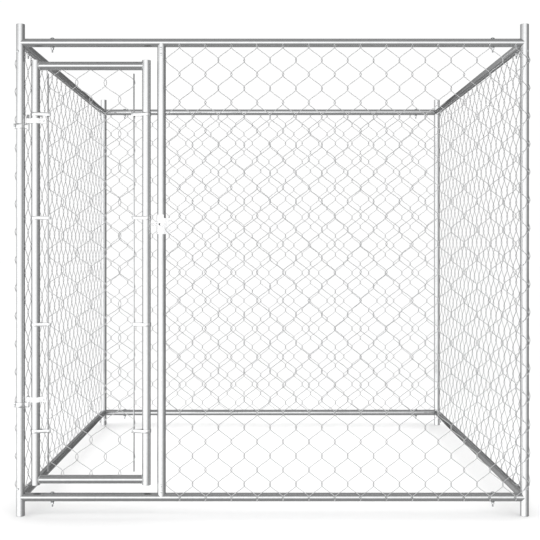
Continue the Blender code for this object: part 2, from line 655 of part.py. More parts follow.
def panel_nets(material):
    """Hang a net on the outside of each side of the frame."""
    height = HIGH_RAIL_Z - LOW_RAIL_Z
    front_left = JAMB_X + TUBE_RADIUS + FRONT_NET_TO_JAMB
    front_right = RIGHT_X + TUBE_RADIUS
    front = net("front_net", front_right - front_left, height, NET_THICKNESS, FRONT_NET_COLUMNS,
                PANEL_NET_PERIODS, material)
    place(front, (front_left, FRONT_Y - NET_GAP_TO_AXIS - NET_THICKNESS, LOW_RAIL_Z))
    rear = net("rear_net", POST_SPAN_X - 2 * SIDE_NET_TO_POST, height, NET_THICKNESS,
               SIDE_NET_COLUMNS, PANEL_NET_PERIODS, material)
    place(rear, (LEFT_X + SIDE_NET_TO_POST, REAR_Y + NET_GAP_TO_AXIS, LOW_RAIL_Z))
    depth = POST_SPAN_Y - 2 * SIDE_NET_TO_POST
    for side, post_x, outward, start_y, along in (
            ("left", LEFT_X, WEST, FRONT_Y + SIDE_NET_TO_POST, NORTH),
            ("right", RIGHT_X, EAST, REAR_Y - SIDE_NET_TO_POST, SOUTH)):
        item = net(f"{side}_net", depth, height, NET_THICKNESS, SIDE_NET_COLUMNS,
                   PANEL_NET_PERIODS, material)
        place(item, (post_x + outward.x * NET_GAP_TO_AXIS, start_y, LOW_RAIL_Z), UP, along)


def door_net(door, material):
    """Stretch a net between the two tension bars and the two rails of the door."""
    from_stile = BAR_TO_STILE + BAR_RADIUS + JOINT_CLEAR
    left = HINGE_STILE_X + from_stile
    right = LATCH_STILE_X - from_stile
    bottom = DOOR_LOW_RAIL_Z + NET_GAP_TO_AXIS
    top = DOOR_HIGH_RAIL_Z - NET_GAP_TO_AXIS
    item = net("door_net", right - left, top - bottom, DOOR_NET_THICKNESS, DOOR_NET_COLUMNS,
               DOOR_NET_PERIODS, material)
    place(item, (left, FRONT_Y - DOOR_NET_THICKNESS / 2, bottom), parent=door)


def main():
    """Build the kennel."""
    clear_scene()
    steel = make_material("galvanised_tube", (0.62, 0.63, 0.64), 0.28, 1.0)
    wire = make_material("galvanised_wire", (0.70, 0.71, 0.72), 0.35, 1.0)
    fitting = make_material("pressed_fitting", (0.86, 0.87, 0.88), 0.38, 0.9)
    bolt_steel = make_material("zinc_bolt", (0.74, 0.75, 0.76), 0.30, 1.0)
    door = pivot("door_pivot", (HINGE_X, FRONT_Y, 0))
    slide = pivot("latch_slide_axis", (JAMB_X, FRONT_Y, LATCH_HEIGHT))

    for depth_name, y in (("front", FRONT_Y), ("rear", REAR_Y)):
        for side_name, x in (("left", LEFT_X), ("right", RIGHT_X)):
            corner_post(f"{depth_name}_{side_name}_post", x, y, steel)
    for level, z in (("bottom", LOW_RAIL_Z), ("top", HIGH_RAIL_Z)):
        frame_rail(f"front_{level}_rail", (LEFT_X, FRONT_Y, z), EAST, NORTH, steel)
        frame_rail(f"rear_{level}_rail", (LEFT_X, REAR_Y, z), EAST, SOUTH, steel)
        frame_rail(f"left_{level}_rail", (LEFT_X, FRONT_Y, z), NORTH, EAST, steel)
        frame_rail(f"right_{level}_rail", (RIGHT_X, FRONT_Y, z), NORTH, WEST, steel)
        near_x = RAIL_BOLT_TO_POST + LEFT_X
        near_y = RAIL_BOLT_TO_POST + FRONT_Y
        for name, y in (("front", FRONT_Y), ("rear", REAR_Y)):
            rail_bolt(f"{name}_{level}_rail_bolt_left", (near_x, y, z), bolt_steel)
            rail_bolt(f"{name}_{level}_rail_bolt_right", (-near_x, y, z), bolt_steel)
        far_y = REAR_Y - RAIL_BOLT_TO_POST
        for name, x in (("left", LEFT_X), ("right", RIGHT_X)):
            rail_bolt(f"{name}_{level}_rail_bolt_front", (x, near_y, z), bolt_steel)
            rail_bolt(f"{name}_{level}_rail_bolt_rear", (x, far_y, z), bolt_steel)

    door_jamb(steel)
    latch_housing(fitting)
    latch_bolt(slide, fitting)
    for level, height in LATCH_EAR_BOLTS_ABOVE_HOUSING_END.items():
        location = (JAMB_X + LATCH_EAR_BOLT, FRONT_Y, LATCH_HOUSING_BOTTOM + height)
        ear_bolt(f"latch_clamp_bolt_{level}", location, LATCH_HOUSING_THICKNESS, None, bolt_steel)
    for side in HINGE_PLANES:
        hinge(side, door, fitting, bolt_steel)
    door_frame(door, steel)
    door_net_holders(door, steel, fitting)
    panel_nets(wire)
    door_net(door, wire)


main()
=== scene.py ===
"""The looks of a chain-link dog kennel: fine tubes, woven nets, fittings, finishes, light and camera.

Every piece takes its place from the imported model. X runs along the front, Y to the rear, Z up, and all
sizes are in metres.
"""

import json
import math

import bmesh
import bpy
import numpy as np
from mathutils import Matrix, Vector


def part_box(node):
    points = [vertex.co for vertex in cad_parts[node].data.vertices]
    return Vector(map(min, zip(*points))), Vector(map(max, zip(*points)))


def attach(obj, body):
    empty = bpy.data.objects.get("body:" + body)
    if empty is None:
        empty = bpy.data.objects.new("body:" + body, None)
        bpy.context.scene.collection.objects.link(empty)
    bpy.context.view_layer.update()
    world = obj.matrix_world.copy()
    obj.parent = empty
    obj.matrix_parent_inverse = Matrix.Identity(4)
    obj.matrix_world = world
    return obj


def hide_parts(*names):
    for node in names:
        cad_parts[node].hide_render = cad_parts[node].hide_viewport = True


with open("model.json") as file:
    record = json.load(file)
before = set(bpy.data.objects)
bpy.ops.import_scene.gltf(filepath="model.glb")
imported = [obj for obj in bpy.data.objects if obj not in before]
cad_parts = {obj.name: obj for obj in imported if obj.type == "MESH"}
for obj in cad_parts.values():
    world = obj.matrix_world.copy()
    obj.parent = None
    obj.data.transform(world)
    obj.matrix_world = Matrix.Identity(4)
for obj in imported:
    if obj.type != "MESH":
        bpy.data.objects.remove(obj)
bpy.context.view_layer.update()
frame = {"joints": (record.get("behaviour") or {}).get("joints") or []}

EAST = Vector((1, 0, 0))
WEST = Vector((-1, 0, 0))
NORTH = Vector((0, 1, 0))
SOUTH = Vector((0, -1, 0))
UP = Vector((0, 0, 1))


# Places and sizes read from the frame

def low(node):
    """Return a node's lowest corner."""
    return Vector(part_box(node)[0])


def high(node):
    """Return a node's highest corner."""
    return Vector(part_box(node)[1])


def middle(node):
    """Return the middle of a node's box."""
    return (low(node) + high(node)) / 2


TUBE_RADIUS = (high("door_hinge_stile").x - low("door_hinge_stile").x) / 2
LEFT_X = low("front_left_post").x + TUBE_RADIUS
RIGHT_X = high("front_right_post").x - TUBE_RADIUS
FRONT_Y = low("front_left_post").y + TUBE_RADIUS
REAR_Y = high("rear_left_post").y - TUBE_RADIUS
POST_HEIGHT = high("front_left_post").z
SPIGOT_END = high("front_left_post").x - LEFT_X
LOW_RAIL_Z = middle("front_bottom_rail").z
HIGH_RAIL_Z = middle("front_top_rail").z
RAIL_LEVELS = (("bottom", LOW_RAIL_Z), ("top", HIGH_RAIL_Z))
JAMB_X = middle("door_jamb_post").x
HINGE_STILE_X = middle("door_hinge_stile").x
LATCH_STILE_X = middle("door_latch_stile").x
DOOR_BOTTOM_Z = low("door_hinge_stile").z
DOOR_TOP_Z = high("door_hinge_stile").z
DOOR_LOW_RAIL_Z = middle("door_bottom_rail").z
DOOR_HIGH_RAIL_Z = middle("door_top_rail").z
DOOR_RAIL_Y = middle("door_bottom_rail").y
JOINTS = {joint["name"]: joint for joint in frame["joints"]}
HINGE_X = JOINTS["door_hinge"]["pos_m"][0]
LATCH_TRAVEL = JOINTS["latch_slide"]["range_m"][1]
LATCH_Z = middle("latch_bolt").z
RAIL_BOLT_FROM_POST = middle("front_top_rail_bolt_left").x - LEFT_X

# Tubes
TUBE_WALL = 0.0012
TUBE_LIP = 0.0003
TUBE_SIDES = 56
JOINT_CLEAR = 0.0003
DOOR_JOINT_CLEAR = 0.0007
SPIGOT_CLEAR = 0.0006
SPIGOT_SIDES = 32
BEAD_RADIUS = 0.0017
BEAD_RIPPLE = 0.0004
BEAD_RIPPLES = 26
BEAD_STEPS = 104
BEAD_SIDES = 8
BEAD_END_ANGLE = math.radians(8)
BEAD_END_SHARE = 0.35
BEAD_END_STEPS = 6

# Woven nets: flattened coils of wire that stand on end and hook into each other
WIRE_RADIUS = 0.0013
WIRE_SIDES = 6
TURN_STEPS = (-1.0, -0.55, 0.0, 0.55, 1.0)
ARM_STEPS = (0.33, 0.67)
ARM_BOW = 0.0010
LOOSE_TURN_HEIGHT = 0.0184
LOOSE_TURN_REACH = 0.0058
LOOSE_OVERLAP = 0.0033
TIGHT_TURN_HEIGHT = 0.0200
TIGHT_TURN_REACH = 0.0044
TIGHT_OVERLAP = 0.0021
NET_HALF_DEPTH = 0.0028
NET_PERIODS = 16
NET_TOP_NODE_BELOW_RAIL = 0.0158
NET_BOTTOM_NODE_ABOVE_RAIL = 0.0005
FRONT_NET_WIRES = 28
FRONT_NET_TO_JAMB = 0.0212
FRONT_NET_PAST_POST = 0.0104
REAR_NET_WIRES = 40
REAR_NET_PAST_LEFT_POST = 0.0089
REAR_NET_PAST_RIGHT_POST = -0.0064
SIDE_NET_WIRES = 39
SIDE_NET_FROM_POST = 0.0080
SIDE_NET_PAST_POST = 0.0105
DOOR_NET_WIRES = 6
DOOR_NET_PERIODS = 12
DOOR_NET_PERIOD = 0.1281
DOOR_NET_TOP_NODE_BELOW_RAIL = 0.0008
DOOR_NET_HALF_DEPTH = 0.0046
DOOR_TURN_HEIGHT = 0.0320
DOOR_TURN_REACH = 0.0085
DOOR_OVERLAP = 0.0052

# Fittings
FITTING_ROUNDING = 0.0005
BAND_ROUNDING = 0.0004
STRAP_STEPS = 40
STRAP_BORE_RADIUS = TUBE_RADIUS + JOINT_CLEAR
BANDS_PER_STILE = 4
BAND_THICKNESS = 0.0015
BAND_HALF_GAP = 0.0055
BAND_LEG_START = 0.0425
BAND_LEG_END = 0.0562
BAND_BOLT_X = 0.0518
BAND_BOLT_RADIUS = 0.0016
BAND_HEAD_RADIUS = 0.0040
BAND_HEAD_HEIGHT = 0.0018
BAND_HEAD_RIM = 0.0004
BAND_BOLT_END = 0.0008
BAND_BOLT_END_SHARE = 0.7
BAND_NUT_FLATS = 0.0062
BAND_NUT_HEIGHT = 0.0024
PLATE_THICKNESS = 0.0025
EAR_HALF_GAP = 0.001
EAR_ROOT = 0.001
LUG_WIDTH = 0.009
LUG_OVERLAP = 0.0012
LUG_STEP = 0.0005
EYE_CLEAR = 0.0004
EYE_WALL = 0.0032
HOLE_CLEAR = 0.0003
PIN_RADIUS = 0.005
PIN_CHAMFER = 0.0005
PIN_CROWN = 0.0015
ROUND_STEPS = 40
CUT_MARGIN = 0.01

# Latch
HOUSING_THICKNESS = 0.0027
HOUSING_HEIGHT = 0.060
LIP_EDGE = 0.010
ROD_RADIUS = 0.004
ROD_CLEAR = 0.0004
ROD_TIP_ROUND = 0.0012
HANDLE_RADIUS = 0.003
HANDLE_SLOT_CLEAR = 0.001
LATCH_BORE_MARGIN = 0.04
KNOB_LENGTH = 0.007
KNOB_FLAT_SHARE = 0.35
STRIKE_WIDTH = 0.010
STRIKE_HEIGHT = 0.014
# The knob's profile: places out from the handle's or the knob's side, and along from its back or front
KNOB_FILLET = ((0, -0.0015), (0.0009, -0.0003))
KNOB_BACK = ((-0.0006, 0), (0, 0.0008))
KNOB_CROWN = ((0, -0.0028), (-0.0009, -0.0011), (-0.0032, -0.0002))

# Bolts and screws
RAIL_BOLT_RADIUS = 0.003
RAIL_HEAD_RADIUS = 0.0075
RAIL_HEAD_HEIGHT = 0.004
RAIL_HEAD_RIM = 0.0006
RAIL_WASHER_HEIGHT = 0.004
RAIL_WASHER_RIM = 0.0008
RAIL_WASHER_PAST_NUT = 0.0004
RAIL_NUT_FLATS = 0.010
RAIL_NUT_HEIGHT = 0.006
RAIL_STUB = 0.010
THREAD_PITCH = 0.001
THREAD_DEPTH = 0.0004
THREAD_CREST = 0.15
THREAD_ROOT = 0.65
HEAD_STEPS = 7
TIP_STEPS = 5
EAR_BOLT_RADIUS = 0.002
EAR_BOLT_END = 0.0006
EAR_HEAD_RADIUS = 0.0032
EAR_HEAD_HEIGHT = 0.003
EAR_NUT_FLATS = 0.0058
EAR_NUT_HEIGHT = 0.0035
SOCKET_RADIUS = 0.0013
SOCKET_DEPTH = 0.0014
SOCKET_FLOOR_SHARE = 0.6
# The rounded top of a socket head: shares of its radius, and how far each lies below its top
EAR_HEAD_ROUND = ((0.68, 0), (0.9, 0.0006), (1, 0.0014))
BOLT_SIDES = 24
NUT_SIDES = 36
NUT_CHAMFER = math.tan(math.radians(30))
NUT_CLEAR = 0.0001
NUT_FACE_SHARE = 0.97
SCREW_FLANGE_RADIUS = 0.0050
SCREW_FLANGE_HEIGHT = 0.0012
SCREW_HEX_FLATS = 0.0066
SCREW_HEX_HEIGHT = 0.0034
SCREW_HEX_FOOT = 0.9
# The rounded side of a screw's flange: shares of its radius and of its height
SCREW_FLANGE_ROUND = ((1, 0), (1, 0.5), (0.93, 0.85), (0.75, 1))
POST_SCREW_ANGLE = math.radians(24)
POST_SCREW_FROM_RAIL = 0.0335
JAMB_SCREWS_FROM_RAIL = (0.0235, 0.046)

# Camera, measured from the photograph's 540 by 540 pixels and its perspective
PHOTO_PIXELS = 540
CAMERA_TO_FRONT = 3.702
CAMERA_X = -0.0254
CAMERA_Z = 1.0090
FOCAL_PIXELS = 983.0
CENTRE_PIXEL = (265.8, 247.65)
SENSOR_WIDTH = 36.0

# Stage
FLOOR_HALF_SIZE = 60
FLOOR_DROP = 0.0005
FLOOR_ROUGHNESS = 0.9
# Painted light on the floor: its colour is lighter near the kennel to cancel the kennel's shade there, and
# fades between these distances to the plain far grey
FLOOR_NEAR_PAINTED_LIGHT = 0.82
FLOOR_FAR = 0.69
FLOOR_PAINTED_LIGHT_FADE = (1.0, 2.8)
# How bright the studio is for bright metal to mirror, by the compass: from straight behind the kennel
# round past its left side, the camera at 0 and its right side
COMPASS = ((-180, 0.14), (-165, 0.32), (-138, 0.56), (-116, 0.90), (-97, 1.40), (-75, 1.75),
           (-50, 1.95), (-12, 1.90), (10, 1.65), (32, 1.30), (48, 0.84), (66, 0.48), (90, 0.32),
           (130, 0.24), (165, 0.16), (180, 0.14))
CEILING = 0.43
BRIGHTEST = 2.0
HORIZON_EDGE = (0.18, 0.50)
HORIZON_TILT = 0.15
BACKDROP = 1.02
FILL = 1.50

# Zinc coats: how fine each pattern is, in features to a metre, the range of it that shows, and how much
# of the colour, the gloss or the relief it makes up
CRYSTAL_EDGE_SCALE = 3
CRYSTAL_EDGE_SHIFT = 0.35
CRYSTAL_SHARE = 0.45
CLOUD_SCALE = 9
CLOUD_DETAIL = 5
CLOUD_SHARE = 0.35
CLOUD_RANGE = (0.3, 0.7)
RUN_SCALE = 60
RUN_DETAIL = 4
RUN_STRETCH = (1, 1, 0.06)
RUN_RANGE = (0.35, 0.7)
GRAIN_SCALE = 1400
GRAIN_DETAIL = 2
GLOSS_CRYSTALS = (0.85, 1.05)
GLOSS_CLOUDS = 0.35
GLOSS_RANGE = (0.35, 0.7)
RELIEF_SHARE = 0.5
RELIEF_DEPTH = 0.0002

# Finishes: a name, the dull and the bright colour, the metallic share, the roughness, the crystals to a
# metre, and the strength of the runs and of the relief
FINISHES = {
    "tube": ("galvanised_tube", (0.54, 0.545, 0.55), (0.61, 0.615, 0.62), 1, 0.11, 110, 0.20, 0.06),
    "wire": ("galvanised_wire", (0.68, 0.685, 0.69), (0.74, 0.745, 0.75), 1, 0.60, 160, 0.10, 0.05),
    "fitting": ("pale_zinc_fitting", (0.88, 0.885, 0.89), (0.95, 0.95, 0.955), 0.12, 0.34, 300, 0.15, 0.15),
    "clamp": ("bright_zinc_clamp", (0.62, 0.625, 0.63), (0.70, 0.705, 0.71), 1, 0.16, 240, 0.15, 0.10),
    "bolt": ("bright_zinc_bolt", (0.60, 0.61, 0.62), (0.74, 0.75, 0.75), 0.95, 0.20, 500, 0.10, 0.15),
    "weld": ("zinc_painted_weld", (0.52, 0.53, 0.54), (0.70, 0.71, 0.71), 0.8, 0.38, 260, 0.10, 0.60),
}

# A Mix node's sockets for colours, which go by number because its names stand for other types too
MIX_FIRST = 6
MIX_SECOND = 7
MIX_RESULT = 2

# Meshes
RIGHT_ANGLE = math.radians(90)
SMOOTH_LIMIT = math.radians(35)
WELD_DISTANCE = 1e-6
ROUNDED_ANGLE = math.radians(50)
ROUNDING_STEPS = 2


# Materials

def shader_node(tree, kind, inputs, **settings):
    """Add a shader node, give each input a value or a link, and return the node's outputs."""
    made = tree.nodes.new(f"ShaderNode{kind}")
    for name, value in settings.items():
        setattr(made, name, value)
    for name, value in inputs.items():
        if isinstance(value, bpy.types.NodeSocket):
            tree.links.new(value, made.inputs[name])
        else:
            made.inputs[name].default_value = value
    return made.outputs


def shader_material(name):
    """Return a new material with its node tree, its shader's inputs and its object coordinates."""
    made = bpy.data.materials.new(name)
    made.use_nodes = True
    tree = made.node_tree
    return made, tree, tree.nodes["Principled BSDF"].inputs, shader_node(tree, "TexCoord", {})["Object"]


def arithmetic(tree, operation, first, second):
    """Return the result of a step of arithmetic."""
    return shader_node(tree, "Math", {0: first, 1: second}, operation=operation)["Value"]


def ranged(tree, value, lowest, highest, start=0, end=1):
    """Return a value mapped from start and end to lowest and highest."""
    limits = {"From Min": start, "From Max": end, "To Min": lowest, "To Max": highest}
    return shader_node(tree, "MapRange", {"Value": value, **limits})["Result"]


def blend(tree, factor, first, second):
    """Return a mix of two colours."""
    inputs = {"Factor": factor, MIX_FIRST: first, MIX_SECOND: second}
    return shader_node(tree, "Mix", inputs, data_type="RGBA")[MIX_RESULT]


def grey(level):
    """Return a grey as a colour."""
    return (level, level, level, 1)


def noise(tree, coordinates, scale, detail, stretch=(1, 1, 1)):
    """Return a noise, whose pattern may be stretched along an axis."""
    placed = shader_node(tree, "Mapping", {"Vector": coordinates, "Scale": stretch})["Vector"]
    return shader_node(tree, "TexNoise", {"Vector": placed, "Scale": scale, "Detail": detail})["Fac"]


def spangle(tree, coordinates, scale):
    """Return the grey of each crystal of a zinc coat, with ragged crystal edges."""
    wobble = shader_node(tree, "TexNoise", {"Vector": coordinates, "Scale": scale * CRYSTAL_EDGE_SCALE})
    spread = (CRYSTAL_EDGE_SHIFT / scale,) * 3
    ragged = shader_node(tree, "VectorMath", {0: wobble["Color"], 1: spread, 2: coordinates},
                         operation="MULTIPLY_ADD")
    cells = shader_node(tree, "TexVoronoi", {"Vector": ragged["Vector"], "Scale": scale})
    return shader_node(tree, "SeparateColor", {"Color": cells["Color"]})["Red"]


def zinc(name, dull, bright, metallic, roughness, crystal_scale, streak, relief):
    """Return a zinc-coated steel: crystals, faint runs along Z, clouded gloss and fine grain."""
    made, tree, shader, coordinates = shader_material(name)
    crystals = spangle(tree, coordinates, crystal_scale)
    clouds = noise(tree, coordinates, CLOUD_SCALE, CLOUD_DETAIL)
    runs = noise(tree, coordinates, RUN_SCALE, RUN_DETAIL, RUN_STRETCH)
    grain = noise(tree, coordinates, GRAIN_SCALE, GRAIN_DETAIL)
    mixed = arithmetic(tree, "ADD", ranged(tree, crystals, 0, CRYSTAL_SHARE),
                       ranged(tree, clouds, 0, CLOUD_SHARE, *CLOUD_RANGE))
    mixed = arithmetic(tree, "ADD", mixed, ranged(tree, runs, 0, streak, *RUN_RANGE))
    spread = [roughness * share for share in GLOSS_CRYSTALS]
    gloss = arithmetic(tree, "ADD", ranged(tree, crystals, *spread),
                       ranged(tree, clouds, 0, roughness * GLOSS_CLOUDS, *GLOSS_RANGE))
    height = arithmetic(tree, "ADD", ranged(tree, crystals, 0, RELIEF_SHARE),
                        ranged(tree, grain, 0, RELIEF_SHARE))
    bump = shader_node(tree, "Bump", {"Height": height, "Strength": relief, "Distance": RELIEF_DEPTH})
    tree.links.new(blend(tree, mixed, (*dull, 1), (*bright, 1)), shader["Base Color"])
    tree.links.new(gloss, shader["Roughness"])
    tree.links.new(bump["Normal"], shader["Normal"])
    shader["Metallic"].default_value = metallic
    return made


# Mesh building

def transform(origin, axis=UP, lateral=EAST):
    """Return the matrix that puts Z along axis and X along lateral, at a point of the kennel."""
    rotation = Matrix((lateral, axis.cross(lateral), axis)).transposed().to_4x4()
    return Matrix.Translation(Vector(origin)) @ rotation


def scene_object(name, data):
    """Return a new object of the scene."""
    made = bpy.data.objects.new(name, data)
    bpy.context.scene.collection.objects.link(made)
    return made


def make_object(name, mesh_data, matrix=Matrix()):
    """Turn a bmesh into an object whose place is in its mesh."""
    bmesh.ops.recalc_face_normals(mesh_data, faces=mesh_data.faces)
    mesh_data.transform(matrix)
    mesh = bpy.data.meshes.new(name)
    mesh_data.to_mesh(mesh)
    mesh_data.free()
    return scene_object(name, mesh)


def modify(item, kind, **settings):
    """Replace an object's mesh by what a modifier makes of it."""
    step = item.modifiers.new(kind, kind)
    for name, value in settings.items():
        setattr(step, name, value)
    evaluated = item.evaluated_get(bpy.context.evaluated_depsgraph_get())
    mesh = bpy.data.meshes.new_from_object(evaluated)
    item.modifiers.clear()
    item.data = mesh


def combine(item, other, operation="DIFFERENCE"):
    """Cut an object with another, or join them, and weld what falls together. The other is used up."""
    modify(item, "BOOLEAN", operation=operation, solver="EXACT", object=other)
    bpy.data.objects.remove(other, do_unlink=True)
    mesh_data = bmesh.new()
    mesh_data.from_mesh(item.data)
    bmesh.ops.remove_doubles(mesh_data, verts=mesh_data.verts, dist=WELD_DISTANCE)
    mesh_data.to_mesh(item.data)
    mesh_data.free()


def soften(item, width):
    """Round an object's sharp edges."""
    modify(item, "BEVEL", width=width, segments=ROUNDING_STEPS, limit_method="ANGLE",
           angle_limit=ROUNDED_ANGLE, use_clamp_overlap=True)


def dress(item, material, slot, body, *nodes):
    """Shade a piece, give it its finish and its body, and let it stand for its nodes."""
    item.data.materials.clear()
    item.data.materials.append(material)
    item.data.shade_smooth()
    item.data.set_sharp_from_angle(angle=SMOOTH_LIMIT)
    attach(item, body)
    if nodes:
        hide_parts(*nodes)


def loops_to_faces(mesh_data, loops, closed):
    """Bridge rings of vertices in order, and the last to the first if closed, or else cap the ends."""
    pairs = list(zip(loops, loops[1:]))
    if closed:
        pairs.append((loops[-1], loops[0]))
    for loop, following in pairs:
        count = len(loop)
        for step in range(count):
            after = (step + 1) % count
            mesh_data.faces.new((loop[step], loop[after], following[after], following[step]))
    if not closed:
        mesh_data.faces.new(loops[0][::-1])
        mesh_data.faces.new(loops[-1])


def revolve(mesh_data, profile, sides, closed=False):
    """Turn a profile of radius and height pairs about Z, where either may vary with the angle."""
    loops = []
    for radius, height in profile:
        loop = []
        for step in range(sides):
            angle = math.tau * step / sides
            reach = radius(angle) if callable(radius) else radius
            level = height(angle) if callable(height) else height
            loop.append(mesh_data.verts.new((reach * math.cos(angle), reach * math.sin(angle), level)))
        loops.append(loop)
    loops_to_faces(mesh_data, loops, closed)


def prism(outline, bottom, top):
    """Return a bmesh of a flat outline extruded along Z."""
    mesh_data = bmesh.new()
    floor_face = mesh_data.faces.new([mesh_data.verts.new((x, y, bottom)) for x, y in outline])
    made = bmesh.ops.extrude_face_region(mesh_data, geom=[floor_face])
    moved = [item for item in made["geom"] if isinstance(item, bmesh.types.BMVert)]
    bmesh.ops.translate(mesh_data, vec=(0, 0, top - bottom), verts=moved)
    return mesh_data


def drill(item, radius, reach, matrix, sides=BOLT_SIDES):
    """Cut a round hole into an object, along a matrix's Z and as far to both sides."""
    mesh_data = bmesh.new()
    revolve(mesh_data, [(radius, -reach), (radius, reach)], sides)
    combine(item, make_object("drill", mesh_data, matrix))


def mill(item, lowest, highest, matrix):
    """Cut a block between two corners out of an object."""
    outline = [(lowest[0], lowest[1]), (highest[0], lowest[1]), (highest[0], highest[1]),
               (lowest[0], highest[1])]
    combine(item, make_object("mill", prism(outline, lowest[2], highest[2]), matrix))


# Tubes

def saddle(clearance, setback=0):
    """Return the trim of a tube's end that meets another tube, with a gap and a shift across it."""
    def trim(across):
        """Return how far the end stops short of the other tube's axis at this place across it."""
        return math.sqrt(max((TUBE_RADIUS + clearance) ** 2 - (across + setback) ** 2, 0))
    return trim


def corner_saddle(across):
    """Trim a rail round its post, and at 45 degrees against the other rail of that corner."""
    return max(saddle(JOINT_CLEAR)(across), across + JOINT_CLEAR)


def square_end(across):
    """Leave a tube's end square, whatever the place across it."""
    return 0


def add_tube(mesh_data, radius, length, start_trim, end_trim, sides):
    """Add an open tube along Z with rounded lips, trimmed at its ends by the place across it."""
    profile = [(radius - TUBE_LIP, False, 0), (radius, False, TUBE_LIP), (radius, True, TUBE_LIP),
               (radius - TUBE_LIP, True, 0), (radius - TUBE_WALL, True, 0), (radius - TUBE_WALL, False, 0)]
    loops = []
    for reach, at_end, inset in profile:
        loop = []
        for step in range(sides):
            angle = math.tau * step / sides
            across = reach * math.cos(angle)
            level = length - end_trim(across) - inset if at_end else start_trim(across) + inset
            loop.append(mesh_data.verts.new((across, reach * math.sin(angle), level)))
        loops.append(loop)
    loops_to_faces(mesh_data, loops, closed=True)


def tube(name, length, start_trim, end_trim, matrix):
    """Return an open tube of the kennel's size."""
    mesh_data = bmesh.new()
    add_tube(mesh_data, TUBE_RADIUS, length, start_trim, end_trim, TUBE_SIDES)
    return make_object(name, mesh_data, matrix)


def corner_post(node, x, y, steel):
    """Make a post with the four welded spigots that the rails slide over."""
    post = tube(f"{node}_tube", POST_HEIGHT, square_end, square_end, transform((x, y, 0)))
    spigots = bmesh.new()
    radius = TUBE_RADIUS - TUBE_WALL - SPIGOT_CLEAR
    for axis, lateral in ((EAST if x < 0 else WEST, NORTH), (NORTH if y < 0 else SOUTH, EAST)):
        for z in (LOW_RAIL_Z, HIGH_RAIL_Z):
            before = len(spigots.verts)
            add_tube(spigots, radius, SPIGOT_END, saddle(0), square_end, SPIGOT_SIDES)
            spigots.verts.ensure_lookup_table()
            bmesh.ops.transform(spigots, matrix=transform((x, y, z), axis, lateral),
                                verts=spigots.verts[before:])
    dress(post, steel, "tube_steel", "frame", node)
    dress(make_object(f"{node}_spigots", spigots), steel, "tube_steel", "frame")


def frame_rail(node, start, axis, lateral, length, steel):
    """Make a rail between two posts, drilled for its two bolts."""
    matrix = transform(start, axis, lateral)
    rail = tube(f"{node}_tube", length, corner_saddle, corner_saddle, matrix)
    for distance in (RAIL_BOLT_FROM_POST, length - RAIL_BOLT_FROM_POST):
        drill(rail, RAIL_BOLT_RADIUS + HOLE_CLEAR, TUBE_RADIUS + CUT_MARGIN,
              transform(matrix @ Vector((0, 0, distance))))
    dress(rail, steel, "tube_steel", "frame", node)


def weld_bead(name, rail_x, rail_z, inward, weld):
    """Run a rippled bead round the joint of a door rail with its stile."""
    points = []
    setback = DOOR_RAIL_Y - FRONT_Y
    seat = TUBE_RADIUS + DOOR_JOINT_CLEAR / 2
    limit = math.acos(min((seat - setback) / TUBE_RADIUS, 1)) + BEAD_END_ANGLE
    for step in range(BEAD_STEPS + 1):
        angle = limit + (math.tau - 2 * limit) * step / BEAD_STEPS
        y = setback + TUBE_RADIUS * math.cos(angle)
        x = rail_x + inward.x * math.sqrt(max(seat ** 2 - y ** 2, 0))
        points.append(Vector((x, FRONT_Y + y, rail_z + TUBE_RADIUS * math.sin(angle))))
    mesh_data = bmesh.new()
    loops = []
    for index, point in enumerate(points):
        ahead = points[min(index + 1, BEAD_STEPS)] - points[max(index - 1, 0)]
        tangent = ahead.normalized()
        side = tangent.cross(inward).normalized()
        third = tangent.cross(side)
        ripple = BEAD_RIPPLE * abs(math.sin(math.pi * BEAD_RIPPLES * index / BEAD_STEPS))
        fade = min(1, BEAD_END_SHARE + min(index, BEAD_STEPS - index) / BEAD_END_STEPS)
        radius = (BEAD_RADIUS + ripple) * fade
        loop = []
        for step in range(BEAD_SIDES):
            turn = math.tau * step / BEAD_SIDES
            loop.append(mesh_data.verts.new(point + radius * (side * math.cos(turn)
                                                              + third * math.sin(turn))))
        loops.append(loop)
    loops_to_faces(mesh_data, loops, closed=False)
    dress(make_object(name, mesh_data), weld, "tube_steel", "door")


def door_frame(looks):
    """Make the door's stiles and rails, with their welds."""
    height = DOOR_TOP_Z - DOOR_BOTTOM_Z
    for side, x in (("hinge", HINGE_STILE_X), ("latch", LATCH_STILE_X)):
        matrix = transform((x, FRONT_Y, DOOR_BOTTOM_Z))
        stile = tube(f"door_{side}_stile_tube", height, square_end, square_end, matrix)
        if side == "latch":
            strike_z = LATCH_Z - DOOR_BOTTOM_Z
            mill(stile, (0, -STRIKE_WIDTH / 2, strike_z - STRIKE_HEIGHT / 2),
                 (TUBE_RADIUS + CUT_MARGIN, STRIKE_WIDTH / 2, strike_z + STRIKE_HEIGHT / 2), matrix)
        dress(stile, looks["tube"], "tube_steel", "door", f"door_{side}_stile")
    trim = saddle(DOOR_JOINT_CLEAR, DOOR_RAIL_Y - FRONT_Y)
    for level, z in (("bottom", DOOR_LOW_RAIL_Z), ("top", DOOR_HIGH_RAIL_Z)):
        matrix = transform((HINGE_STILE_X, DOOR_RAIL_Y, z), EAST, NORTH)
        rail = tube(f"door_{level}_rail_tube", LATCH_STILE_X - HINGE_STILE_X, trim, trim, matrix)
        dress(rail, looks["tube"], "tube_steel", "door", f"door_{level}_rail")
        weld_bead(f"door_{level}_rail_weld_hinge", HINGE_STILE_X, z, EAST, looks["weld"])
        weld_bead(f"door_{level}_rail_weld_latch", LATCH_STILE_X, z, WEST, looks["weld"])


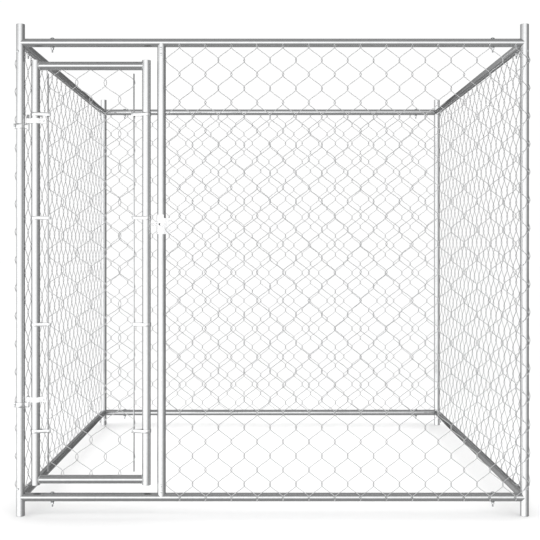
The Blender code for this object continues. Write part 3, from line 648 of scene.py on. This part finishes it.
def door_jamb(steel):
    """Make the jamb, bored for the latch bolt and slotted for its handle."""
    matrix = transform((JAMB_X, FRONT_Y, LOW_RAIL_Z), UP, NORTH)
    trim = saddle(JOINT_CLEAR)
    jamb = tube("door_jamb_tube", HIGH_RAIL_Z - LOW_RAIL_Z, trim, trim, matrix)
    cut_for_latch(jamb, TUBE_RADIUS)
    dress(jamb, steel, "tube_steel", "frame", "door_jamb_post")


def cut_for_latch(item, outer):
    """Bore an item for the latch bolt and slot it for the handle."""
    drill(item, ROD_RADIUS + ROD_CLEAR, outer + LATCH_BORE_MARGIN,
          transform((JAMB_X, FRONT_Y, LATCH_Z), EAST, NORTH), ROUND_STEPS)
    half_height = HANDLE_RADIUS + HANDLE_SLOT_CLEAR
    half_width = LATCH_TRAVEL / 2 + half_height
    mill(item, (-half_width, -outer - CUT_MARGIN, -half_height), (half_width, -ROD_RADIUS, half_height),
         transform((JAMB_X, FRONT_Y, LATCH_Z)))


# Woven nets

def wire_points(left, right, nodes, first_side, half_depth, turns):
    """Return a wire's middle line as places across, outwards and up, from its lowest turn.

    Each side's turn is given by its height and its reach, and runs smoothly into the arms, which bow a
    little in an S.
    """
    heights = (turns[-1][0] + turns[1][0]) / 2
    reaches = turns[-1][1] + turns[1][1]
    slope = (nodes[1] - nodes[0] - heights) / (right - left - reaches - math.tau * ARM_BOW)
    points = []
    side = first_side
    for level in nodes:
        edge = right if side > 0 else left
        height, reach = turns[side]
        power = height / 2 / (reach * slope)
        for turn in TURN_STEPS:
            points.append((edge - side * reach * abs(turn) ** power,
                           -side * half_depth * math.sin(turn * math.pi / 2),
                           level + turn * height / 2))
        if level != nodes[-1]:
            start = points[-1]
            following = turns[-side]
            end = ((left if side > 0 else right) + side * following[1], start[1],
                   level + nodes[1] - nodes[0] - following[0] / 2)
            for share in ARM_STEPS:
                bow = side * ARM_BOW * math.sin(math.tau * share)
                points.append((start[0] + (end[0] - start[0]) * share + bow, start[1],
                               start[2] + (end[2] - start[2]) * share))
        side = -side
    return np.array(points)


def clipped(points, lowest, highest):
    """Cut a wire's middle line off at two heights."""
    keep = [index for index, point in enumerate(points) if lowest < point[2] < highest]
    kept = [points[index] for index in keep]
    for inner, outer, level, place in ((keep[0], keep[0] - 1, lowest, 0),
                                       (keep[-1], keep[-1] + 1, highest, len(keep) + 1)):
        if 0 <= outer < len(points):
            share = (level - points[inner][2]) / (points[outer][2] - points[inner][2])
            kept.insert(place, points[inner] + share * (points[outer] - points[inner]))
    return np.array(kept)


def sweep(paths, radius, sides):
    """Return the vertices of round wires along paths, with flat ends, and their faces, facing inwards."""
    vertices = []
    faces = []
    angles = np.arange(sides) * math.tau / sides
    for path in paths:
        ahead = np.empty_like(path)
        ahead[1:-1] = path[2:] - path[:-2]
        ahead[0] = path[1] - path[0]
        ahead[-1] = path[-1] - path[-2]
        ahead /= np.linalg.norm(ahead, axis=1)[:, None]
        side = np.cross(ahead, (0.0, 1.0, 0.0))
        side /= np.linalg.norm(side, axis=1)[:, None]
        third = np.cross(side, ahead)
        rings = (path[:, None, :] + radius * (side[:, None, :] * np.cos(angles)[None, :, None]
                                              + third[:, None, :] * np.sin(angles)[None, :, None]))
        base = sum(len(earlier) for earlier in vertices)
        vertices.append(rings.reshape(-1, 3))
        for ring in range(len(path) - 1):
            for step in range(sides):
                after = (step + 1) % sides
                here = base + ring * sides
                faces.append((here + step, here + after, here + sides + after, here + sides + step))
        last = base + (len(path) - 1) * sides
        faces.append(tuple(base + step for step in reversed(range(sides))))
        faces.append(tuple(last + step for step in range(sides)))
    return np.concatenate(vertices), faces


def net_object(name, paths, matrix):
    """Return the object of a net from its wires' middle lines, by a matrix that mirrors them.

    The mirroring turns the faces outwards.
    """
    vertices, faces = sweep(paths, WIRE_RADIUS, WIRE_SIDES)
    mesh = bpy.data.meshes.new(name)
    mesh.from_pydata(vertices.tolist(), [], faces)
    mesh.transform(matrix)
    return scene_object(name, mesh)


def panel_net(node, start, along, outward, width, wires, material, first_low=False, first_loose=False):
    """Weave the net of one side of the kennel, hung outside its rails.

    Every other column of turns reaches lowest and every other one is loose, each from the first or from
    the second column on.
    """
    pitch = width / wires
    top = HIGH_RAIL_Z - NET_TOP_NODE_BELOW_RAIL
    bottom = LOW_RAIL_Z + NET_BOTTOM_NODE_ABOVE_RAIL
    period = (top - bottom) / NET_PERIODS
    nodes = [bottom + period / 2 * index for index in range(2 * NET_PERIODS + 1)]
    loose = (LOOSE_TURN_HEIGHT, LOOSE_TURN_REACH)
    tight = (TIGHT_TURN_HEIGHT, TIGHT_TURN_REACH)
    paths = []
    for index in range(wires):
        second_side = 1 if index % 2 == 0 else -1
        low_side = -second_side if first_low else second_side
        loose_side = -second_side if first_loose else second_side
        turns = {loose_side: loose, -loose_side: tight}
        if index == 0:
            turns[-1] = loose
        if index == wires - 1:
            turns[1] = loose
        overlap = {side: LOOSE_OVERLAP if turn is loose else TIGHT_OVERLAP
                   for side, turn in turns.items()}
        paths.append(wire_points(index * pitch - overlap[-1], (index + 1) * pitch + overlap[1], nodes,
                                 low_side, NET_HALF_DEPTH, turns))
    distance = TUBE_RADIUS + JOINT_CLEAR + WIRE_RADIUS + NET_HALF_DEPTH
    origin = Vector(start) + outward * distance
    matrix = Matrix.Translation(origin) @ Matrix((along, outward, UP)).transposed().to_4x4()
    dress(net_object(f"{node}_weave", paths, matrix), material, "net_wire", "frame", node)


def panel_nets(wire):
    """Weave the four panels' nets."""
    start = JAMB_X + FRONT_NET_TO_JAMB
    panel_net("front_net", (start, FRONT_Y, 0), EAST, SOUTH, RIGHT_X + FRONT_NET_PAST_POST - start,
              FRONT_NET_WIRES, wire)
    start = RIGHT_X + REAR_NET_PAST_RIGHT_POST
    panel_net("rear_net", (start, REAR_Y, 0), WEST, NORTH, start - LEFT_X + REAR_NET_PAST_LEFT_POST,
              REAR_NET_WIRES, wire)
    start = FRONT_Y + SIDE_NET_FROM_POST
    end = REAR_Y + SIDE_NET_PAST_POST
    panel_net("left_net", (LEFT_X, end, 0), SOUTH, WEST, end - start, SIDE_NET_WIRES, wire,
              first_low=True)
    panel_net("right_net", (RIGHT_X, start, 0), NORTH, EAST, end - start, SIDE_NET_WIRES, wire,
              first_loose=True)


def door_net(wire):
    """Weave the door's net, hooked round its two tension bars and ending on its rails."""
    left_bar = middle("hinge_tension_bar").x
    right_bar = middle("latch_tension_bar").x
    bar_radius = (high("hinge_tension_bar").x - low("hinge_tension_bar").x) / 2
    round_bar = bar_radius + WIRE_RADIUS + JOINT_CLEAR / 2
    pitch = (right_bar - left_bar) / DOOR_NET_WIRES
    top = DOOR_HIGH_RAIL_Z - DOOR_NET_TOP_NODE_BELOW_RAIL
    half = DOOR_NET_PERIOD / 2
    levels = [top - half * index for index in range(2 * DOOR_NET_PERIODS, -1, -1)]
    turn = (DOOR_TURN_HEIGHT, DOOR_TURN_REACH)
    paths = []
    for index in range(DOOR_NET_WIRES):
        left = left_bar + index * pitch - (round_bar if index == 0 else DOOR_OVERLAP)
        last = index == DOOR_NET_WIRES - 1
        right = left_bar + (index + 1) * pitch + (round_bar if last else DOOR_OVERLAP)
        side = 1 if index % 2 == 0 else -1
        points = wire_points(left, right, levels, side, DOOR_NET_HALF_DEPTH, {-1: turn, 1: turn})
        paths.append(clipped(points, DOOR_LOW_RAIL_Z + TUBE_RADIUS, DOOR_HIGH_RAIL_Z - TUBE_RADIUS))
    matrix = Matrix.Translation((0, FRONT_Y, 0)) @ Matrix((EAST, SOUTH, UP)).transposed().to_4x4()
    dress(net_object("door_net_weave", paths, matrix), wire, "net_wire", "door", "door_net")


# Bolts, nuts and screws

def dome(radius, height, level, steps, rim=0):
    """Return the profile of a dome, from a level up to its top, over an upright rim if it has one."""
    points = [(radius, level)] if rim else []
    for index in range(steps):
        angle = math.pi / 2 * index / steps
        points.append((radius * math.cos(angle), level + rim + (height - rim) * math.sin(angle)))
    return points


def thread(radius, start, end):
    """Return the profile of a thread as grooves from start up or down to end."""
    count = round(abs(end - start) / THREAD_PITCH)
    step = (end - start) / count
    points = []
    for index in range(count):
        points.append((radius, start + step * (index + THREAD_CREST)))
        points.append((radius - THREAD_DEPTH, start + step * (index + THREAD_ROOT)))
    points.append((radius - THREAD_DEPTH, end))
    return points


def add_nut(mesh_data, flats, height, bore, bottom):
    """Add a chamfered hexagon nut round Z, or a closed hexagon head where the bore is 0."""
    apothem = flats / 2

    def corner(angle):
        """Return how far the hexagon reaches at an angle."""
        return apothem / math.cos((angle % (math.pi / 3)) - math.pi / 6)

    def drop(angle):
        """Return how far the chamfer falls at an angle."""
        return (corner(angle) - apothem) * NUT_CHAMFER

    face = apothem * NUT_FACE_SHARE
    profile = [(face, bottom), (corner, lambda angle: bottom + drop(angle)),
               (corner, lambda angle: bottom + height - drop(angle)), (face, bottom + height)]
    if bore:
        profile += [(bore, bottom + height), (bore, bottom)]
    revolve(mesh_data, profile, NUT_SIDES, closed=bool(bore))


def rail_bolt_mesh():
    """Return a domed bolt through a rail, with its cone washer, nut and threaded end."""
    top = TUBE_RADIUS + JOINT_CLEAR
    washer_end = -top - RAIL_WASHER_HEIGHT
    nut_end = washer_end - RAIL_NUT_HEIGHT
    stub_end = nut_end - RAIL_STUB
    mesh_data = bmesh.new()
    head = dome(RAIL_HEAD_RADIUS, RAIL_HEAD_HEIGHT, top, HEAD_STEPS, RAIL_HEAD_RIM)[::-1]
    profile = head + [(RAIL_BOLT_RADIUS, top), (RAIL_BOLT_RADIUS, nut_end)]
    profile += thread(RAIL_BOLT_RADIUS, nut_end, stub_end)
    revolve(mesh_data, profile, BOLT_SIDES)
    bore = RAIL_BOLT_RADIUS + NUT_CLEAR
    washer = [(bore, -top), (RAIL_HEAD_RADIUS, -top), (RAIL_HEAD_RADIUS, -top - RAIL_WASHER_RIM),
              (RAIL_NUT_FLATS / 2 + RAIL_WASHER_PAST_NUT, washer_end), (bore, washer_end)]
    revolve(mesh_data, washer, BOLT_SIDES, closed=True)
    add_nut(mesh_data, RAIL_NUT_FLATS, RAIL_NUT_HEIGHT, bore, nut_end)
    return mesh_data


def ear_bolt_mesh(thickness):
    """Return a socket-head bolt and nut through a clamp's two ears, with its head up."""
    reach = EAR_HALF_GAP + thickness + JOINT_CLEAR
    mesh_data = bmesh.new()
    top = reach + EAR_HEAD_HEIGHT
    nut_end = -reach - EAR_NUT_HEIGHT
    profile = [(SOCKET_RADIUS * SOCKET_FLOOR_SHARE, top - SOCKET_DEPTH),
               (SOCKET_RADIUS, top - SOCKET_DEPTH), (SOCKET_RADIUS, top)]
    profile += [(EAR_HEAD_RADIUS * share, top - below) for share, below in EAR_HEAD_ROUND]
    profile += [(EAR_HEAD_RADIUS, reach), (EAR_BOLT_RADIUS, reach), (EAR_BOLT_RADIUS, nut_end),
                (EAR_BOLT_RADIUS - THREAD_DEPTH, nut_end - EAR_BOLT_END)]
    revolve(mesh_data, profile, BOLT_SIDES)
    add_nut(mesh_data, EAR_NUT_FLATS, EAR_NUT_HEIGHT, EAR_BOLT_RADIUS + NUT_CLEAR, nut_end)
    return mesh_data


def screw_mesh():
    """Return the flanged hexagon head of a self-drilling screw, standing on Z 0."""
    mesh_data = bmesh.new()
    flange = [(SCREW_FLANGE_RADIUS * across, SCREW_FLANGE_HEIGHT * up)
              for across, up in SCREW_FLANGE_ROUND]
    revolve(mesh_data, flange, BOLT_SIDES)
    add_nut(mesh_data, SCREW_HEX_FLATS, SCREW_HEX_HEIGHT, 0, SCREW_FLANGE_HEIGHT * SCREW_HEX_FOOT)
    return mesh_data


def rail_bolts(bolt):
    """Put the two bolts in each rail."""
    for level, z in RAIL_LEVELS:
        for rail, ends in (("front", ("left", "right")), ("rear", ("left", "right")),
                           ("left", ("front", "rear")), ("right", ("front", "rear"))):
            for end in ends:
                node = f"{rail}_{level}_rail_bolt_{end}"
                place = middle(node)
                place.z = z
                item = make_object(f"{node}_set", rail_bolt_mesh(), transform(place))
                dress(item, bolt, "zinc_bolt", "frame", node)


def ear_bolts(bolt):
    """Put the bolts in the clamps' ears."""
    nodes = [(f"{side}_hinge_{part}_bolt", PLATE_THICKNESS, "door" if part == "door" else "frame")
             for side in ("upper", "lower") for part in ("post", "door")]
    nodes += [(f"latch_clamp_bolt_{level}", HOUSING_THICKNESS, "frame") for level in ("upper", "lower")]
    for node, thickness, body in nodes:
        place = middle(node)
        place.y = FRONT_Y
        item = make_object(f"{node}_set", ear_bolt_mesh(thickness), transform(place, SOUTH, EAST))
        dress(item, bolt, "zinc_bolt", body, node)


def net_screws(bolt):
    """Put the screws that pinch the nets to the posts, and those on the jamb."""
    levels = (("bottom", LOW_RAIL_Z, 1), ("top", HIGH_RAIL_Z, -1))
    for depth_name, y, facing in (("front", FRONT_Y, SOUTH), ("rear", REAR_Y, NORTH)):
        for side_name, x, outward in (("left", LEFT_X, WEST), ("right", RIGHT_X, EAST)):
            normal = facing * math.cos(POST_SCREW_ANGLE) + outward * math.sin(POST_SCREW_ANGLE)
            for level, rail_z, up in levels:
                place = Vector((x, y, rail_z + up * POST_SCREW_FROM_RAIL))
                place += normal * (TUBE_RADIUS - JOINT_CLEAR)
                item = make_object(f"net_screw_{depth_name}_{side_name}_{level}", screw_mesh(),
                                   transform(place, normal, UP))
                dress(item, bolt, "zinc_bolt", "frame")
    for level, rail_z, up in levels:
        for number, distance in enumerate(JAMB_SCREWS_FROM_RAIL, 1):
            place = Vector((JAMB_X, FRONT_Y - TUBE_RADIUS + JOINT_CLEAR, rail_z + up * distance))
            item = make_object(f"jamb_screw_{level}_{number}", screw_mesh(), transform(place, SOUTH, UP))
            dress(item, bolt, "zinc_bolt", "frame")


# Straps, bands and hinges

def strap_outline(thickness, half_gap, leg_start, leg_end):
    """Return the outline of a strip bent round a tube, closing on two parallel legs along X."""
    def side(radius, gap):
        """Return one side of the strip, from the end of a leg round the tube to the other leg's."""
        reach = math.hypot(leg_start, gap)
        first = math.atan2(gap, leg_start) + math.acos(min(radius / reach, 1))
        step = (math.tau - 2 * first) / STRAP_STEPS
        arc = [(radius * math.cos(first + step * index), radius * math.sin(first + step * index))
               for index in range(STRAP_STEPS + 1)]
        return [(leg_end, gap), (leg_start, gap), *arc, (leg_start, -gap), (leg_end, -gap)]
    outer = side(STRAP_BORE_RADIUS + thickness, half_gap + thickness)
    inner = side(STRAP_BORE_RADIUS, half_gap)
    return outer + inner[::-1]


def across_legs(matrix, distance):
    """Return the matrix that puts Z across a strap's two legs, at a distance from the tube's axis."""
    return matrix @ Matrix.Translation((distance, 0, 0)) @ Matrix.Rotation(RIGHT_ANGLE, 4, "X")


def tension_bands(looks):
    """Make the bands round the stiles, each closed by a small bolt past the tension bar."""
    for side, x, towards in (("hinge", HINGE_STILE_X, EAST), ("latch", LATCH_STILE_X, WEST)):
        for number in range(1, BANDS_PER_STILE + 1):
            node = f"{side}_tension_band_{number}"
            height = high(node).z - low(node).z
            matrix = transform((x, FRONT_Y, middle(node).z), UP, towards)
            outline = strap_outline(BAND_THICKNESS, BAND_HALF_GAP, BAND_LEG_START, BAND_LEG_END)
            band = make_object(f"{node}_strap", prism(outline, -height / 2, height / 2), matrix)
            soften(band, BAND_ROUNDING)
            reach = BAND_HALF_GAP + BAND_THICKNESS
            drill(band, BAND_BOLT_RADIUS + HOLE_CLEAR, reach * 2, across_legs(matrix, BAND_BOLT_X))
            dress(band, looks["clamp"], "pressed_fitting", "door", node)
            front = transform(matrix @ Vector((BAND_BOLT_X, 0, 0)), SOUTH, EAST)
            mesh_data = bmesh.new()
            head = dome(BAND_HEAD_RADIUS, BAND_HEAD_HEIGHT, reach, HEAD_STEPS, BAND_HEAD_RIM)[::-1]
            nut_end = -reach - BAND_NUT_HEIGHT
            profile = head + [(BAND_BOLT_RADIUS, reach), (BAND_BOLT_RADIUS, nut_end),
                              (BAND_BOLT_RADIUS * BAND_BOLT_END_SHARE, nut_end - BAND_BOLT_END)]
            revolve(mesh_data, profile, BOLT_SIDES)
            add_nut(mesh_data, BAND_NUT_FLATS, BAND_NUT_HEIGHT, BAND_BOLT_RADIUS + NUT_CLEAR, nut_end)
            bolt = make_object(f"{node}_bolt", mesh_data, front)
            dress(bolt, looks["bolt"], "zinc_bolt", "door")


def tension_bars(steel):
    """Make the two round bars, with rounded ends."""
    for side in ("hinge", "latch"):
        node = f"{side}_tension_bar"
        place = middle(node)
        radius = (high(node).x - low(node).x) / 2
        half = (high(node).z - low(node).z) / 2
        mesh_data = bmesh.new()
        top = dome(radius, radius / 2, half - radius / 2, TIP_STEPS)
        profile = [(reach, -level) for reach, level in top[::-1]] + top
        revolve(mesh_data, profile, BOLT_SIDES)
        item = make_object(f"{node}_rod", mesh_data, transform((place.x, FRONT_Y, place.z)))
        dress(item, steel, "tube_steel", "door", node)


def lug_outline(pin_distance, round_radius):
    """Return the outline of a lug from a clamp's closed side to a round end at the pin."""
    half_width = LUG_WIDTH / 2
    root = -(STRAP_BORE_RADIUS + PLATE_THICKNESS - LUG_OVERLAP)
    start = math.asin(half_width / round_radius)
    points = [(root, -half_width), (root, half_width)]
    for index in range(ROUND_STEPS + 1):
        angle = start + (math.tau - 2 * start) * index / ROUND_STEPS
        points.append((-pin_distance + round_radius * math.cos(angle), round_radius * math.sin(angle)))
    return points


def hinge_clamp(node, height, centre, legs, ear_reach, ear_bolt_x, lug):
    """Make a clamp round a tube, with ears on one side and a lug on the other."""
    half = height / 2
    matrix = transform(centre, UP, legs)
    ear_root = STRAP_BORE_RADIUS + PLATE_THICKNESS + EAR_ROOT
    outline = strap_outline(PLATE_THICKNESS, EAR_HALF_GAP, ear_root, ear_reach)
    clamp = make_object(f"{node}_forging", prism(outline, -half, half), matrix)
    soften(clamp, FITTING_ROUNDING)
    drill(clamp, EAR_BOLT_RADIUS + HOLE_CLEAR, CUT_MARGIN, across_legs(matrix, ear_bolt_x))
    lug_half = half - LUG_STEP
    lug_object = make_object("lug", prism(lug, -lug_half, lug_half), matrix)
    soften(lug_object, FITTING_ROUNDING)
    combine(clamp, lug_object, "UNION")
    return clamp, matrix


def hinges(looks):
    """Make the clamps with pins on the post and the straps with eyes on the stile."""
    for side in ("upper", "lower"):
        eye_node = f"{side}_hinge_eye_strap"
        pin_node = f"{side}_hinge_pin_clamp"
        plate = high(eye_node).z - low(eye_node).z
        eye_z = middle(eye_node).z
        pin_z = eye_z - plate - 2 * JOINT_CLEAR
        from_post = HINGE_X - LEFT_X
        post_bolt = LEFT_X - middle(f"{side}_hinge_post_bolt").x
        clamp, matrix = hinge_clamp(
            pin_node, plate, (LEFT_X, FRONT_Y, pin_z), WEST, LEFT_X - low(pin_node).x, post_bolt,
            lug_outline(from_post, PIN_RADIUS))
        bottom = low(pin_node).z - pin_z
        top = high(pin_node).z - pin_z
        mesh_data = bmesh.new()
        profile = [(PIN_RADIUS - PIN_CHAMFER, bottom), (PIN_RADIUS, bottom + PIN_CHAMFER)]
        profile += dome(PIN_RADIUS, PIN_CROWN, top - PIN_CROWN, TIP_STEPS)
        revolve(mesh_data, profile, ROUND_STEPS)
        pin = make_object("pin", mesh_data, matrix @ Matrix.Translation((-from_post, 0, 0)))
        combine(clamp, pin, "UNION")
        dress(clamp, looks["clamp"], "pressed_fitting", "frame", pin_node)

        from_stile = HINGE_STILE_X - HINGE_X
        door_bolt = middle(f"{side}_hinge_door_bolt").x - HINGE_STILE_X
        eye_radius = PIN_RADIUS + EYE_CLEAR
        strap, matrix = hinge_clamp(
            eye_node, plate, (HINGE_STILE_X, FRONT_Y, eye_z), EAST, high(eye_node).x - HINGE_STILE_X,
            door_bolt, lug_outline(from_stile, eye_radius + EYE_WALL))
        drill(strap, eye_radius, plate, matrix @ Matrix.Translation((-from_stile, 0, 0)), ROUND_STEPS)
        dress(strap, looks["fitting"], "pressed_fitting", "door", eye_node)


# Latch

def latch_housing(fitting):
    """Make the sleeve clamped round the jamb, with its raised lip, bore, slot and bolt holes."""
    node = "latch_housing"
    bottom = low(node).z
    full_height = high(node).z - bottom
    matrix = transform((JAMB_X, FRONT_Y, bottom))
    ear_root = STRAP_BORE_RADIUS + HOUSING_THICKNESS + EAR_ROOT
    ear_reach = high(node).x - JAMB_X
    outline = strap_outline(HOUSING_THICKNESS, EAR_HALF_GAP, ear_root, ear_reach)
    housing = make_object(f"{node}_sleeve", prism(outline, 0, full_height), matrix)
    reach = ear_reach + CUT_MARGIN
    notch = [(-reach, reach), (-reach, 0), (LIP_EDGE, 0), (LIP_EDGE, -reach), (reach, -reach),
             (reach, reach)]
    combine(housing, make_object("notch", prism(notch, HOUSING_HEIGHT, full_height + CUT_MARGIN), matrix))
    soften(housing, FITTING_ROUNDING)
    cut_for_latch(housing, STRAP_BORE_RADIUS + HOUSING_THICKNESS)
    for level in ("upper", "lower"):
        place = middle(f"latch_clamp_bolt_{level}")
        place.y = FRONT_Y
        drill(housing, EAR_BOLT_RADIUS + HOLE_CLEAR, CUT_MARGIN, transform(place, SOUTH, EAST))
    dress(housing, fitting, "pressed_fitting", "frame", node)


def latch_bolt(fitting):
    """Make the sliding rod with its knobbed handle."""
    node = "latch_bolt"
    matrix = transform((JAMB_X, FRONT_Y, LATCH_Z), EAST, NORTH)
    tip = low(node).x - JAMB_X
    tail = high(node).x - JAMB_X
    mesh_data = bmesh.new()
    end = dome(ROD_RADIUS, ROD_TIP_ROUND, 0, TIP_STEPS)
    profile = [(reach, tip + ROD_TIP_ROUND - level) for reach, level in end[::-1]]
    profile += [(reach, tail - ROD_TIP_ROUND + level) for reach, level in end]
    revolve(mesh_data, profile, ROUND_STEPS)
    rod = make_object(f"{node}_rod", mesh_data, matrix)
    front = FRONT_Y - low(node).y
    knob_radius = (high(node).z - low(node).z) / 2
    stem = front - KNOB_LENGTH
    knob = bmesh.new()
    profile = [(HANDLE_RADIUS, 0)]
    profile += [(HANDLE_RADIUS + out, stem + along) for out, along in KNOB_FILLET]
    profile += [(knob_radius + out, stem + along) for out, along in KNOB_BACK]
    profile += [(knob_radius + out, front + along) for out, along in KNOB_CROWN]
    profile.append((knob_radius * KNOB_FLAT_SHARE, front))
    revolve(knob, profile, ROUND_STEPS)
    matrix = transform((JAMB_X + LATCH_TRAVEL / 2, FRONT_Y, LATCH_Z), SOUTH, EAST)
    handle = make_object("handle", knob, matrix)
    combine(rod, handle, "UNION")
    dress(rod, fitting, "pressed_fitting", "latch", node)


# Stage

def plain_floor():
    """Lay a pale floor, which the tubes don't mirror, with painted light round the kennel: it is palest
    there to cancel the kennel's shade on it.
    """
    mesh_data = bmesh.new()
    bmesh.ops.create_grid(mesh_data, x_segments=1, y_segments=1, size=FLOOR_HALF_SIZE)
    floor = make_object("floor", mesh_data, Matrix.Translation((0, 0, -FLOOR_DROP)))
    made, tree, shader, coordinates = shader_material("pale_floor_painted_light")
    distance = shader_node(tree, "VectorMath", {0: coordinates}, operation="LENGTH")["Value"]
    away = ranged(tree, distance, 0, 1, *FLOOR_PAINTED_LIGHT_FADE)
    # Painted light: the floor is lighter near the kennel and fades further off, which hides the shade the
    # kennel casts on it
    tree.links.new(blend(tree, away, grey(FLOOR_NEAR_PAINTED_LIGHT), grey(FLOOR_FAR)), shader["Base Color"])
    shader["Roughness"].default_value = FLOOR_ROUGHNESS
    shader["Specular IOR Level"].default_value = 0
    floor.data.materials.append(made)
    floor.visible_glossy = False


def studio_world():
    """Make the white backdrop, the even fill and the soft light that metal mirrors."""
    world = bpy.data.worlds.new("studio")
    bpy.context.scene.world = world
    world.use_nodes = True
    tree = world.node_tree
    direction = shader_node(tree, "SeparateXYZ", {"Vector": shader_node(tree, "TexCoord", {})["Generated"]})
    x, y, z = (direction[name] for name in "XYZ")
    angle = arithmetic(tree, "ARCTAN2", x, arithmetic(tree, "MULTIPLY", y, -1))
    ramp = shader_node(tree, "ValToRGB", {"Fac": ranged(tree, angle, 0, 1, -math.pi, math.pi)})["Color"]
    stops = ramp.node.color_ramp.elements
    while len(stops) < len(COMPASS):
        stops.new(1)
    for stop, (degrees, level) in zip(stops, COMPASS):
        stop.position = (degrees + 180) / 360
        stop.color = grey(level / BRIGHTEST)
    tilt = arithmetic(tree, "MULTIPLY", x, HORIZON_TILT)
    height = arithmetic(tree, "ABSOLUTE", arithmetic(tree, "SUBTRACT", z, tilt), 0)
    start, end = HORIZON_EDGE
    edge = shader_node(tree, "MapRange", {"Value": height, "From Min": start, "From Max": end},
                       interpolation_type="SMOOTHSTEP")["Result"]
    path = shader_node(tree, "LightPath", {})
    mirrored = blend(tree, edge, ramp, grey(CEILING / BRIGHTEST))
    lit = blend(tree, path["Is Glossy Ray"], grey(FILL / BRIGHTEST), mirrored)
    seen = blend(tree, path["Is Camera Ray"], lit, grey(BACKDROP / BRIGHTEST))
    tree.links.new(seen, tree.nodes["Background"].inputs["Color"])
    tree.nodes["Background"].inputs["Strength"].default_value = BRIGHTEST


def camera():
    """Put the camera where the photograph was taken from."""
    data = bpy.data.cameras.new("camera")
    data.sensor_fit = "HORIZONTAL"
    data.sensor_width = SENSOR_WIDTH
    data.lens = FOCAL_PIXELS / PHOTO_PIXELS * SENSOR_WIDTH
    data.shift_x = (PHOTO_PIXELS / 2 - CENTRE_PIXEL[0]) / PHOTO_PIXELS
    data.shift_y = (CENTRE_PIXEL[1] - PHOTO_PIXELS / 2) / PHOTO_PIXELS
    made = scene_object("camera", data)
    made.location = (CAMERA_X, FRONT_Y - CAMERA_TO_FRONT, CAMERA_Z)
    made.rotation_euler = (RIGHT_ANGLE, 0, 0)
    bpy.context.scene.camera = made


def build():
    """Make every piece, the stage and the camera."""
    camera()
    looks = {part: zinc(*finish) for part, finish in FINISHES.items()}
    for depth_name, y in (("front", FRONT_Y), ("rear", REAR_Y)):
        for side_name, x in (("left", LEFT_X), ("right", RIGHT_X)):
            corner_post(f"{depth_name}_{side_name}_post", x, y, looks["tube"])
    width = RIGHT_X - LEFT_X
    depth = REAR_Y - FRONT_Y
    for level, z in RAIL_LEVELS:
        for side, x, y, axis, lateral, length in (("front", LEFT_X, FRONT_Y, EAST, NORTH, width),
                                                  ("rear", LEFT_X, REAR_Y, EAST, SOUTH, width),
                                                  ("left", LEFT_X, FRONT_Y, NORTH, EAST, depth),
                                                  ("right", RIGHT_X, FRONT_Y, NORTH, WEST, depth)):
            frame_rail(f"{side}_{level}_rail", (x, y, z), axis, lateral, length, looks["tube"])
    door_jamb(looks["tube"])
    door_frame(looks)
    panel_nets(looks["wire"])
    door_net(looks["wire"])
    tension_bars(looks["tube"])
    tension_bands(looks)
    hinges(looks)
    latch_housing(looks["fitting"])
    latch_bolt(looks["fitting"])
    rail_bolts(looks["bolt"])
    ear_bolts(looks["bolt"])
    net_screws(looks["bolt"])
    plain_floor()
    studio_world()
    bpy.context.scene.view_settings.view_transform = "Standard"


build()
